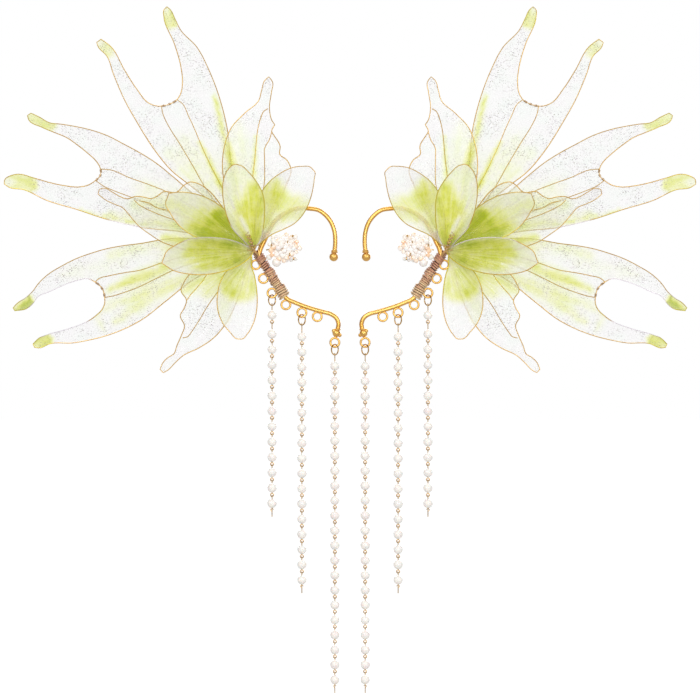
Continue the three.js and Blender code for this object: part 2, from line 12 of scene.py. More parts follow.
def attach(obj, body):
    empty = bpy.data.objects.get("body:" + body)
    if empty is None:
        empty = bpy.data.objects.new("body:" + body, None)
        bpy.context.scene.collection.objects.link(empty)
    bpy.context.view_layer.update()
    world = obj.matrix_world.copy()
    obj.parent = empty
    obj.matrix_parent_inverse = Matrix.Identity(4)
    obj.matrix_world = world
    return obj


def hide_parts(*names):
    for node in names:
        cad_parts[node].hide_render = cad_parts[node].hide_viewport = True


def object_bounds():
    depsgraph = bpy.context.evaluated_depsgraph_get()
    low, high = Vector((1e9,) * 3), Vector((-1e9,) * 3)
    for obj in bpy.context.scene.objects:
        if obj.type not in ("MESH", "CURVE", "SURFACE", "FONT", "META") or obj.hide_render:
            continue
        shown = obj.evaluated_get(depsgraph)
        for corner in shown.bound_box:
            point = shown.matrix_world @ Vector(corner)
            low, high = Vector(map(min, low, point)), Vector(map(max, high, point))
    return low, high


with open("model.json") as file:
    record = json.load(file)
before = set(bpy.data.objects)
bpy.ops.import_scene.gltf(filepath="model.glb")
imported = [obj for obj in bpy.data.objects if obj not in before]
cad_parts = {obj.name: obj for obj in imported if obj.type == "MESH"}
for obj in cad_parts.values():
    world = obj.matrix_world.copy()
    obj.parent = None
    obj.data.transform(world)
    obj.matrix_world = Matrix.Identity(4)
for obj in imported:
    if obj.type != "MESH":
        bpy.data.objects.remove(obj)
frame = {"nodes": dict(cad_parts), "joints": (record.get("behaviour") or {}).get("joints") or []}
CAD_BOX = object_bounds()

MM = 0.001
TURN = 2 * pi
X, Y, Z = np.eye(3)
MIRROR_PLANE = (CAD_BOX[0].x + CAD_BOX[1].x) / 2 / MM

# ---------- Camera, floor and light ----------
VIEW_WIDTH = 0.3143
VIEW_CENTRE = (0.018, 0.0, -0.0625)
LENS = 400
SENSOR = 36
CLIP_END = 100


def aim(thing, target):
    direction = Vector(target) - thing.location
    thing.rotation_euler = direction.to_track_quat("-Z", "Y").to_euler()


def link(data, name):
    thing = bpy.data.objects.new(name, data)
    bpy.context.scene.collection.objects.link(thing)
    return thing


camera = link(bpy.data.cameras.new("camera"), "camera")
camera.data.lens = LENS
camera.data.sensor_width = SENSOR
camera.data.clip_end = CLIP_END
camera.location = Vector(VIEW_CENTRE) - Vector((0, VIEW_WIDTH * LENS / SENSOR, 0))
aim(camera, VIEW_CENTRE)
bpy.context.scene.camera = camera
bpy.context.scene.view_settings.view_transform = "Standard"


def linear(*display):
    """A colour given as 0-255 display values, as the shader wants it."""
    shares = [value / 255 for value in display]
    return tuple(s / 12.92 if s < 0.0405 else ((s + 0.055) / 1.055) ** 2.4 for s in shares)


class Graph:
    """The nodes of a material or world under construction."""

    def __init__(self, owner, kind="Material"):
        owner.use_nodes = True
        self.owner = owner
        self.kind = kind
        self.tree = owner.node_tree
        self.tree.nodes.clear()

    def node(self, kind, inputs=None, output=0, **settings):
        made = self.tree.nodes.new("ShaderNode" + kind)
        for key, value in settings.items():
            setattr(made, key, value)
        for key, value in (inputs or {}).items():
            self.feed(made.inputs[key], value)
        return made.outputs[output]

    def feed(self, socket, value):
        if isinstance(value, bpy.types.NodeSocket):
            self.tree.links.new(value, socket)
        elif socket.type == "RGBA" and len(value) == 3:
            socket.default_value = (*value, 1)
        else:
            socket.default_value = value

    def math(self, operation, *values, clamp=False):
        inputs = dict(enumerate(values))
        return self.node("Math", inputs, operation=operation, use_clamp=clamp)

    def mix(self, share, first, second, blend="MIX"):
        inputs = {0: share, 6: first, 7: second}
        return self.node("Mix", inputs, 2, data_type="RGBA", blend_type=blend)

    def stretch(self, value, low, high, to_low=0.0, to_high=1.0):
        inputs = {0: value, 1: low, 2: high, 3: to_low, 4: to_high}
        return self.node("MapRange", inputs, clamp=True)

    def ramp(self, value, stops):
        made = self.node("ValToRGB", {0: value})
        ramp = made.node.color_ramp
        while len(ramp.elements) < len(stops):
            ramp.elements.new(0.5)
        for element, (position, color) in zip(ramp.elements, stops):
            element.position = position
            element.color = (*color, 1)
        return made

    def display_ramp(self, value, stops):
        """A ramp whose colours are given as 0-255 display values."""
        return self.ramp(value, [(position, linear(*color)) for position, color in stops])

    def noise(self, vector, scale, detail=3.0, roughness=0.5):
        inputs = {"Vector": vector, "Scale": scale, "Detail": detail, "Roughness": roughness}
        return self.node("TexNoise", inputs)

    def sway(self, noise, reach):
        """A noise stretched to run from -reach to reach."""
        return self.stretch(noise, 0.3, 0.7, -reach, reach)

    def attribute(self, name, output=1):
        return self.node("Attribute", output=output, attribute_name=name)

    def bump(self, height, distance, strength=1.0):
        inputs = {"Height": height, "Distance": distance, "Strength": strength}
        return self.node("Bump", inputs)

    def principled(self, inputs):
        return self.node("BsdfPrincipled", inputs)

    def surface(self, shader):
        out = self.tree.nodes.new("ShaderNodeOutput" + self.kind)
        self.tree.links.new(shader, out.inputs["Surface"])
        return self.owner


def new_graph(name):
    """An empty material with this name."""
    return Graph(bpy.data.materials.new(name))


# The studio: greys from below to overhead, brighter towards the camera, and a white backdrop.
STUDIO_GREYS = [(0.0, 0.5), (0.4, 0.4), (0.5, 0.8), (1.0, 1.0)]
FRONT_GLOW, BACK_GLOW = 0.92, 0.35
world = bpy.data.worlds.new("studio")
bpy.context.scene.world = world
graph = Graph(world, "World")
way = graph.node("TexCoord")
height = graph.node("SeparateXYZ", {0: way}, 2)
depth = height.node.outputs["Y"]
studio = graph.ramp(
    graph.stretch(height, -1.0, 1.0), [(position, (grey, grey, grey)) for position, grey in STUDIO_GREYS]
)
glow = graph.stretch(depth, -1.0, 1.0, FRONT_GLOW, BACK_GLOW)
around = graph.node("Background", {"Color": studio, "Strength": glow})
behind = graph.node("Background", {"Color": (1, 1, 1), "Strength": 1.0})
seen = graph.node("LightPath", output="Is Camera Ray")
graph.surface(graph.node("MixShader", {0: seen, 1: around, 2: behind}))

FLOOR_DROP = 0.012
FLOOR_HALF = 15.0
# The white floor's own light, as the object receives it and as the camera sees it.
FLOOR_GIVEN, FLOOR_SEEN = 0.55, 0.97
floor_z = CAD_BOX[0].z - FLOOR_DROP
floor_mesh = bpy.data.meshes.new("floor")
corners = [(-1, -1), (1, -1), (1, 1), (-1, 1)]
floor_mesh.from_pydata([(x * FLOOR_HALF, y * FLOOR_HALF, floor_z) for x, y in corners], [], [(0, 1, 2, 3)])
floor = link(floor_mesh, "floor")
graph = new_graph("floor_paint")
floor_seen = graph.node("LightPath", output="Is Camera Ray")
floor_look = {
    "Base Color": (0.1, 0.1, 0.1),
    "Roughness": 0.9,
    "Specular IOR Level": 0.1,
    "Emission Color": (1, 1, 1),
    "Emission Strength": graph.stretch(floor_seen, 0.0, 1.0, FLOOR_GIVEN, FLOOR_SEEN),
}
floor_mesh.materials.append(graph.surface(graph.principled(floor_look)))

# Each lamp's name, place, size and power in watts.
LIGHTS = [
    ("key", (-0.7, -1.3, 0.9), 0.7, 5.4),
    ("fill", (0.9, -1.2, 0.35), 0.8, 4.2),
    ("low", (0.0, -1.4, -0.01), 0.4, 2.6),
    ("top", (0.0, 0.1, 1.3), 0.6, 2.0),
    ("back", (0.2, 1.4, 0.5), 1.2, 16.0),
]
for name, place, size, power in LIGHTS:
    lamp = link(bpy.data.lights.new(name, "AREA"), name)
    lamp.data.size = size
    lamp.data.energy = power
    lamp.location = place
    lamp.visible_camera = False
    aim(lamp, VIEW_CENTRE)


# ---------- Materials ----------
# The film's colour from clear to full dye, and the faint lilac and green in its clear parts.
DYE_STOPS = [
    (0.0, (246, 246, 245)), (0.22, (242, 244, 220)), (0.5, (234, 237, 168)), (0.78, (216, 220, 92)),
    (1.0, (180, 193, 0)),
]
SHEEN_STOPS = [(0.35, (255, 253, 255)), (0.5, (255, 255, 255)), (0.65, (252, 255, 253))]
# How far the noises move the dye and the film's cover, and the glitter's look.
STREAKS = 0.22
CLOUDS = 0.26
MOTTLE = 0.1
GLITTER_CELLS = 1.9
GLITTER_SIZE = 0.42
GLITTER_GREY = (0.14, 0.16, 0.15)


def glitter(g, plane, amount):
    """Specks of glitter of many sizes, thicker in some patches: where they are and their colour."""
    cell = {"Vector": plane, "Scale": GLITTER_CELLS, "Randomness": 1.0}
    distance = g.node("TexVoronoi", cell, voronoi_dimensions="2D")
    color = distance.node.outputs["Color"]
    pick = g.node("SeparateColor", {0: color})
    patch = g.stretch(g.noise(plane, 0.09, 2.0, 0.5), 0.35, 0.62, 0.25, 1.0)
    size = g.math("MULTIPLY", g.stretch(pick, 0.42, 1.0, 0.0, GLITTER_SIZE * amount), patch)
    return g.math("LESS_THAN", distance, size), g.mix(0.85, color, GLITTER_GREY)


def film_material(name, clear_share, dyed_share, specks, painted_light_gain=1.0):
    """Film dipped over wire: milky and see-through, dyed by the piece's dye attribute, with glitter. It
    covers clear_share of what lies behind, or dyed_share where it's dyed. Its last argument brightens
    its colours: painted light for a film that faces away from the lamps."""
    g = new_graph(name)
    plane = g.attribute("plane")
    grain = g.attribute("grain")
    dye = g.attribute("dye", 2)
    rim = g.attribute("rim", 2)
    clouds = g.noise(plane, 0.16, 3.0, 0.6)
    wander = g.math("ADD", g.sway(g.noise(grain, 1.0, 4.0, 0.6), STREAKS), g.sway(clouds, CLOUDS))
    room = g.math("MULTIPLY", dye, g.math("SUBTRACT", 1.35, dye))
    dyed = g.math("ADD", dye, g.math("MULTIPLY", g.math("MULTIPLY", wander, room), 1.3), clamp=True)
    # Painted light: the gain brightens the dye colours of a film that faces away from the lamps.
    stops = [(stop, tuple(min(c * painted_light_gain, 1.0) for c in linear(*color))) for stop, color in DYE_STOPS]
    tint = g.mix(1.0, g.ramp(dyed, stops), g.display_ramp(clouds, SHEEN_STOPS), "MULTIPLY")
    pale = g.mix(g.math("MULTIPLY", rim, 0.25), tint, linear(242, 236, 238))
    mottle = g.sway(g.noise(plane, 0.5, 4.0, 0.7), MOTTLE)
    share = g.math("ADD", g.stretch(dyed, 0.0, 0.7, clear_share, dyed_share), mottle)

    speck, flake = glitter(g, plane, specks)
    speck_share = g.math("MULTIPLY", speck, 0.95)
    color = g.mix(speck_share, pale, flake)
    share = g.math("MAXIMUM", share, speck_share, clamp=True)

    ripple = g.noise(grain, 0.8, 2.0, 0.5)
    bump = g.bump(g.math("ADD", ripple, g.math("MULTIPLY", clouds, 0.6)), 0.0006, 0.6)
    look = {"Base Color": color, "Roughness": 0.32, "Specular IOR Level": 0.45, "Coat Weight": 0.25}
    gloss = g.principled({**look, "Normal": bump})
    glow = g.node("BsdfTranslucent", {"Color": color, "Normal": bump})
    film = g.node("MixShader", {0: 0.42, 1: gloss, 2: glow})
    through = g.node("BsdfTransparent", {"Color": g.mix(0.75, (1, 1, 1), tint)})
    return g.surface(g.node("MixShader", {0: share, 1: through, 2: film}))


def metal_material(name, bright, dull, roughness, scale):
    """Plated metal: two golds drifting into each other, finely uneven and rougher where it's worn."""
    g = new_graph(name)
    place = g.attribute("grain")
    drift = g.stretch(g.noise(place, scale, 3.0, 0.6), 0.35, 0.65)
    wear = g.noise(place, scale * 6, 4.0, 0.7)
    color = g.mix(drift, linear(*bright), linear(*dull))
    shine = g.stretch(wear, 0.3, 0.8, roughness * 0.7, roughness * 1.5)
    bump = g.bump(wear, 0.00002, 0.12)
    look = {"Base Color": color, "Metallic": 1.0, "Roughness": shine, "Normal": bump}
    return g.surface(g.principled(look))


def wire_material():
    """Thin frame wire: pale gold, stained yellow-green where the film's dye has run along it. The higher
    rim is, the more the wire is worn away, down to the film's lilac edge."""
    g = new_graph("frame_wire")
    place = g.attribute("grain")
    drift = g.stretch(g.noise(place, 0.25, 3.0, 0.6), 0.35, 0.65)
    gold = g.mix(drift, linear(222, 184, 102), linear(190, 146, 68))
    stain = g.stretch(g.attribute("dye", 2), 0.15, 0.8, 0.0, 0.75)
    stained = g.mix(stain, gold, linear(206, 198, 60))
    bare = g.attribute("rim", 2)
    color = g.mix(bare, stained, linear(232, 220, 232))
    bump = g.bump(g.noise(place, 3.0), 0.00004, 0.6)
    wire = g.principled({"Base Color": color, "Metallic": 0.55, "Roughness": 0.34, "Normal": bump})
    through = g.node("BsdfTransparent", {"Color": (1, 1, 1)})
    return g.surface(g.node("MixShader", {0: g.math("MULTIPLY", bare, 0.6), 1: wire, 2: through}))


# Display colours along each material's drift.
THREAD_STOPS = [(0.0, (204, 140, 118)), (0.5, (232, 184, 144)), (1.0, (252, 226, 176))]
PEARL_STOPS = [(0.3, (242, 232, 230)), (0.5, (250, 244, 236)), (0.7, (240, 237, 234))]
CRYSTAL_STOPS = [(0.34, (255, 251, 248)), (0.48, (255, 246, 236)), (0.6, (255, 216, 178))]


def thread_material():
    """Metallic winding thread: twisted strands from copper to pale gold, with painted shade where turns
    meet and against the stem.
    """
    g = new_graph("thread")
    place = g.attribute("grain")
    height = g.node("SeparateXYZ", {0: g.attribute("plane")}, 2)
    drift = g.stretch(g.noise(place, 0.035, 3.0, 0.7), 0.3, 0.7)
    drift = g.math("ADD", drift, g.stretch(height, -37.0, -23.0, 0.3, -0.3))
    color = g.display_ramp(drift, THREAD_STOPS)
    wave = {"Vector": place, "Scale": 1.4, "Distortion": 1.5, "Detail": 2.0}
    strands = g.node("TexWave", wave, 1, bands_direction="DIAGONAL")
    shade = g.mix(g.stretch(strands, 0.0, 1.0, 0.0, 0.2), color, linear(120, 70, 46))
    # Painted shade: where the dye value is low, on the sides against the stem and in the gaps between
    # turns, the thread goes dark brown.
    shade = g.mix(g.stretch(g.attribute("dye", 2), 0.3, 0.85, 0.9, 0.0), shade, linear(70, 28, 20))
    look = {
        "Base Color": shade,
        "Metallic": 0.5,
        "Roughness": 0.4,
        "Sheen Weight": 0.2,
        "Normal": g.bump(strands, 0.00008, 0.8),
    }
    return g.surface(g.principled(look))


def pearl_material():
    """Pearl: creamy white drifting to pink and grey under a clear lustre."""
    g = new_graph("pearl")
    place = g.attribute("grain")
    look = {
        "Base Color": g.display_ramp(g.noise(place, 0.35, 2.0, 0.5), PEARL_STOPS),
        "Roughness": g.stretch(g.noise(place, 2.0), 0.3, 0.7, 0.16, 0.26),
        "Specular IOR Level": 0.5,
        "Subsurface Weight": 0.25,
        "Subsurface Radius": (1.0, 0.8, 0.7),
        "Subsurface Scale": 0.0008,
        "Coat Weight": 0.3,
        "Coat Roughness": 0.08,
        "Normal": g.bump(g.noise(place, 1.2), 0.00003, 0.3),
    }
    return g.surface(g.principled(look))


def crystal_material():
    """Cut crystal: clear white to champagne, glossy, with a faint painted glow that brightens it."""
    g = new_graph("crystal")
    place = g.attribute("grain")
    look = {
        "Base Color": g.display_ramp(g.noise(place, 0.22, 2.0, 0.5), CRYSTAL_STOPS),
        "Roughness": g.stretch(g.noise(place, 4.0), 0.4, 0.8, 0.02, 0.12),
        "IOR": 1.45,
        "Transmission Weight": 0.12,
        "Coat Weight": 0.5,
        "Coat Roughness": 0.03,
        # Painted glow: a faint warm emission brightens the beads, though they are no lamp.
        "Emission Color": linear(255, 236, 216),
        "Emission Strength": 0.05,
    }
    return g.surface(g.principled(look))


GOLD = metal_material("polished_gold", (240, 196, 116), (222, 164, 80), 0.27, 0.05)
LINK_GOLD = metal_material("link_gold", (222, 186, 118), (160, 120, 62), 0.22, 0.25)
WIRE = wire_material()
THREAD = thread_material()
PEARL = pearl_material()
CRYSTAL = crystal_material()
FIN_FILM = film_material("fin_film", 0.34, 0.66, 1.0)
SMALL_FIN_FILM = film_material("small_fin_film", 0.34, 0.7, 0.9)
PETAL_FILM = film_material("petal_film", 0.6, 0.9, 0.5)
# The top petal's film is more opaque. Its colours are a tenth brighter as painted light, since the petal
# faces down, away from the key lamp.
TOP_PETAL_PAINTED_LIGHT_FILM = film_material("top_petal_film", 0.76, 0.92, 0.5, 1.1)


# ---------- Lines ----------
def distances(line):
    """Each point's distance along a line from its start."""
    return np.concatenate([[0], np.cumsum(norm(np.diff(line, axis=0), axis=1))])


def smooth(points, spacing, closed=False, corner=55):
    """Points about spacing apart on a smooth line through these; turns above corner degrees stay sharp."""
    points = np.asarray(points, float)
    count = len(points)
    steps = (np.roll(points, -1, 0) - points) if closed else np.diff(points, axis=0)
    lengths = np.maximum(norm(steps, axis=1), 1e-9)
    ways = steps / lengths[:, None]
    sharp = cos(radians(corner))
    starts, ends = ways.copy(), ways.copy()
    for i in range(0 if closed else 1, len(steps)):
        before, after = ways[i - 1], ways[i]
        if before @ after < sharp:
            continue
        along = before * lengths[i] + after * lengths[i - 1]
        along /= max(norm(along), 1e-9)
        ends[i - 1] = along
        starts[i] = along
    line = []
    for i, length in enumerate(lengths):
        a, b = points[i], points[(i + 1) % count]
        parts = max(1, round(length / spacing))
        for t in np.arange(parts) / parts:
            t2, t3 = t * t, t * t * t
            line.append(
                a * (2 * t3 - 3 * t2 + 1)
                + starts[i] * length * (t3 - 2 * t2 + t)
                + b * (3 * t2 - 2 * t3)
                + ends[i] * length * (t3 - t2)
            )
    if not closed:
        line.append(points[-1])
    return np.array(line)


def nearest_on(places, line):
    """Each place's distance from a line, and the share of the line's length where it comes nearest."""
    lengths = norm(np.diff(line, axis=0), axis=1)
    starts = np.concatenate([[0], np.cumsum(lengths)])
    nearest, share = np.full(len(places), 1e9), np.zeros(len(places))
    for a, b, start, length in zip(line[:-1], line[1:], starts, lengths):
        step = b - a
        t = np.clip(((places - a) @ step) / max(step @ step, 1e-12), 0, 1)
        away = norm(places - a - t[:, None] * step, axis=1)
        closer = away < nearest
        nearest[closer] = away[closer]
        share[closer] = (start + t[closer] * length) / starts[-1]
    return nearest, share


def away_from(places, lines):
    """How far each place is from the nearest of the lines."""
    return np.min([nearest_on(places, line)[0] for line in lines], axis=0)


# ---------- Shapes ----------
class Shape:
    """A mesh being put together, with the values that its materials read."""

    def __init__(self, *materials):
        self.materials = materials
        self.points, self.faces, self.finishes = [], [], []
        self.values = {"grain": [], "plane": [], "dye": [], "rim": []}
        self.size = 0

    def add(self, points, faces, finish=0, grain=None, plane=None, dye=0.0, rim=0.0):
        points = np.asarray(points, float)
        count = len(points)
        self.points.append(points)
        self.faces += [tuple(i + self.size for i in face) for face in faces]
        self.finishes += [finish] * len(faces)
        self.size += count
        self.values["grain"].append(points if grain is None else grain)
        self.values["plane"].append(points if plane is None else plane)
        self.values["dye"].append(np.broadcast_to(dye, (count,)))
        self.values["rim"].append(np.broadcast_to(rim, (count,)))

    def piece(self, name, mirrored, crease=40):
        points = np.concatenate(self.points)
        faces = self.faces
        if mirrored:
            points = points * (-1, 1, 1) + (2 * MIRROR_PLANE, 0, 0)
            faces = [face[::-1] for face in faces]
        mesh = bpy.data.meshes.new(name)
        mesh.from_pydata((points * MM).tolist(), [], faces)
        for material in self.materials:
            mesh.materials.append(material)
        mesh.polygons.foreach_set("material_index", self.finishes)
        for key, parts in self.values.items():
            value = np.concatenate(parts)
            kind = "FLOAT_VECTOR" if value.ndim == 2 else "FLOAT"
            attribute = mesh.attributes.new(key, kind, "POINT")
            slot = "vector" if value.ndim == 2 else "value"
            attribute.data.foreach_set(slot, value.astype(np.float32).ravel())
        mesh.polygons.foreach_set("use_smooth", [True] * len(mesh.polygons))
        mesh.set_sharp_from_angle(angle=radians(crease))
        return link(mesh, name)


def unit(v):
    return v / max(norm(v), 1e-12)


def tube(path, radius, sides=8, closed=False):
    """A tube along a path. grain is the place along it in mm and the turn round it, times its radius."""
    path = np.asarray(path, float)
    count = len(path)
    radii = np.broadcast_to(np.asarray(radius, float), (count,))
    if closed:
        along = np.roll(path, -1, 0) - np.roll(path, 1, 0)
    else:
        along = np.gradient(path, axis=0)
    along = along / np.maximum(norm(along, axis=1), 1e-12)[:, None]
    side = unit(np.cross(along[0], (0.31, 0.87, 0.38)))
    across = [side]
    for way in along[1:]:
        side = unit(side - way * (side @ way))
        across.append(side)
    across = np.array(across)
    if closed:
        last = unit(across[-1] - along[0] * (across[-1] @ along[0]))
        slip = atan2(np.cross(last, across[0]) @ along[0], last @ across[0])
    lengths = distances(path)
    points, grain = [], []
    for i in range(count):
        up = np.cross(along[i], across[i])
        twist = slip * i / count if closed else 0
        for k in range(sides):
            turn = TURN * k / sides + twist
            out = across[i] * cos(turn) + up * sin(turn)
            points.append(path[i] + out * radii[i])
            grain.append((lengths[i], radii[i] * cos(turn), radii[i] * sin(turn)))
    faces = []
    for i in range(count if closed else count - 1):
        for k in range(sides):
            a, b = i * sides + k, i * sides + (k + 1) % sides
            c, d = (b + sides) % (count * sides), (a + sides) % (count * sides)
            faces.append((a, b, c, d))
    if not closed:
        faces.append(tuple(range(sides))[::-1])
        faces.append(tuple(range((count - 1) * sides, count * sides)))
    return {"points": np.array(points), "faces": faces, "grain": np.array(grain)}


def ring(centre, radius, wire, first, second, count=20, sides=8, opening=0.0):
    """A ring of wire in the plane of two unit vectors, open by that share of a turn."""
    turns = np.linspace(0, TURN * (1 - opening), count, endpoint=opening > 0)
    path = centre + radius * (np.cos(turns)[:, None] * first + np.sin(turns)[:, None] * second)
    return tube(path, wire, sides, closed=opening == 0)


def coil(path, start, stop, radius, wire, turns):
    """A coil wound round a stretch of a path, given as shares of its length."""
    lengths = distances(path)
    share = np.linspace(start, stop, turns * 12)
    middle = np.column_stack([np.interp(share * lengths[-1], lengths, path[:, k]) for k in range(3)])
    along = np.gradient(middle, axis=0)
    along /= norm(along, axis=1)[:, None]
    turn = np.linspace(0, TURN * turns, len(share))[:, None]
    out = np.cos(turn) * np.cross(along, Y) + np.sin(turn) * Y
    return tube(middle + radius * out, wire, 5)


def lathe(profile, centre, count=18, axis=Z):
    """A solid turned about an axis through centre. profile is (radius, height) pairs, low end first."""
    up = unit(np.array(axis, float))
    across = unit(np.cross(up, (0.36, 0.48, 0.8) if abs(up[2]) < 0.9 else Y))
    aside = np.cross(up, across)
    points = [centre + up * profile[0][1]]
    for radius, z in profile[1:-1]:
        for k in range(count):
            turn = TURN * k / count
            out = across * cos(turn) + aside * sin(turn)
            points.append(centre + up * z + radius * out)
    points.append(centre + up * profile[-1][1])
    faces = [(0, 1 + (k + 1) % count, 1 + k) for k in range(count)]
    for row in range(len(profile) - 3):
        for k in range(count):
            a, b = 1 + row * count + k, 1 + row * count + (k + 1) % count
            faces.append((a, b, b + count, a + count))
    top, low = len(points) - 1, 1 + (len(profile) - 3) * count
    faces += [(low + k, low + (k + 1) % count, top) for k in range(count)]
    return {"points": points, "faces": faces}


# Outlines for lathe: a drilled pearl's arc and dent, and a cut bead of radius 1.
PEARL_ARC = pi / 2 - 0.16
PEARL_DENT = 0.9
CUT_PROFILE = [(0, -0.8), (0.42, -0.8), (0.86, -0.36), (1.0, 0.0), (0.86, 0.36), (0.42, 0.8), (0, 0.8)]
CUT_FACETS = 8


def arc_profile(radius, start, count):
    """A ball's outline, from start radians below its belt to as much above it."""
    return [(radius * cos(t), radius * sin(t)) for t in np.linspace(-start, start, count)]


def ball(centre, radius):
    return lathe(arc_profile(radius, pi / 2, 13), centre, 20)


def pearl_profile(radius, hole):
    """A pearl's outline, with the drilled hole sunk in at each end."""
    dent = radius * PEARL_DENT
    return [(0, -dent), (hole, -dent), *arc_profile(radius, PEARL_ARC, 11), (hole, dent), (0, dent)]


def faceted_bead(centre, radius, way):
    """A cut bead: two rows of facets above the belt and two below, and a flat table at each end."""
    return lathe([(r * radius, z * radius) for r, z in CUT_PROFILE], centre, CUT_FACETS, way)


def both(shape, name, cad_name, body="cuff", crease=40):
    """The left piece and its mirror image, each riding on its own side's body."""
    pair = []
    for side in ("left", "right"):
        made = shape.piece(f"{side}_{name}", side == "right", crease)
        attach(made, f"{side}_{body}")
        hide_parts(f"{side}_{cad_name}")
        pair.append(made)
    return pair


# ---------- Leaves ----------
# Where the leaves' wires come together.
GATHER = np.array([-24.8, -18.3])
# A leaf's depth along Y: at the gather, its slope away from there, and how much that slope grows.
BIG_DEPTH = (3.7, 0.07, 0.0004)
SMALL_DEPTH = (1.75, 0.05, 0.0)
PETAL_DEPTHS = {
    "top_petal": (-2.6, -0.26, -0.001),
    "inner_petal": (-1.8, -0.16, 0.0),
    "outer_upper_petal": (-1.7, -0.14, 0.0),
    "outer_lower_petal": (-2.6, -0.2, -0.001),
    "bottom_petal": (-1.8, -0.13, 0.0),
}
PETAL_CUP = 1.2
FILM_SAG = 0.55
SAG_REACH = 3.5
EDGE_WIRE = 0.26
VEIN_WIRE = 0.2
EDGE_FADE = 1.1
ROOT_STAIN = 0.5
STAIN_REACH = 22

# The wires inside each fin's film, as (x, z), from the edge to the gather.
VEINS = {
    "upper_fin": [
        [(-67, 47.7), (-66.3, 44), (-63.5, 38), (-59.4, 31.5), (-53.2, 21.2), (-47.3, 10.8), (-37, -3),
         (-26.4, -14.5)],
        [(-59.8, 50.2), (-57.3, 48.3), (-55, 43.5), (-51.8, 36.6), (-49, 29.8), (-45.3, 21.8), (-39, 9.5),
         (-31, -5), (-25.9, -14.7)],
    ],
    "middle_fin": [
        [(-94.2, 19), (-89.4, 18.5), (-81.8, 15.3), (-73.2, 12.2), (-66, 9.4), (-52, 1.5), (-38, -8.5),
         (-28, -16.3)],
        [(-96.6, 13.9), (-92.8, 11.2), (-88.7, 9.4), (-79.7, 6), (-66, 0.5), (-52, -5), (-39, -11.2),
         (-28.3, -16.7)],
    ],
    "lower_fin": [
        [(-96.8, -31.9), (-95.2, -30.4), (-90.5, -29.1), (-83.5, -27.7), (-76.6, -26.6), (-66.6, -23.2),
         (-52, -19.4), (-40, -17.6), (-29.5, -18.6)],
        [(-92.5, -38.8), (-89.4, -38.3), (-85.2, -37.1), (-76.6, -33.9), (-68, -29.7), (-61.5, -26.6),
         (-51, -23), (-40, -20.3), (-29.7, -18.9)],
    ],
    "crest_fin": [
        [(-18.9, 46), (-20.6, 45), (-22.1, 41.9), (-23.4, 37), (-24.1, 31.1), (-24.8, 23.3), (-25.7, 14.9),
         (-26, 4), (-25, -13)],
        [(-17.2, 35.5), (-18.2, 32.2), (-20.3, 28.4), (-20.4, 23.3), (-20.4, 14.3), (-22, 3),
         (-24.4, -13)],
    ],
    "side_fin": [
        [(-79, 5), (-77, 2.9), (-74.2, 1.3), (-68, -1.5), (-60.8, -4.1), (-50, -8), (-38, -12.5),
         (-28, -17.4)],
        [(-76.6, 4.6), (-71.5, 3.2), (-69.8, 1.9), (-64.6, 0.5), (-54, -3.4), (-42, -9), (-28, -17)],
    ],
    "tail_fin": [
        [(-55.5, -40.3), (-53.5, -37.5), (-50.7, -34.4), (-47.9, -31), (-46.4, -28.7), (-38, -24),
         (-28.4, -20)],
        [(-57.2, -57.1), (-54.8, -56.4), (-53.5, -54.7), (-50, -49.5), (-46.6, -43.7), (-41.8, -36.8),
         (-35, -28), (-28, -20.6)],
    ],
}
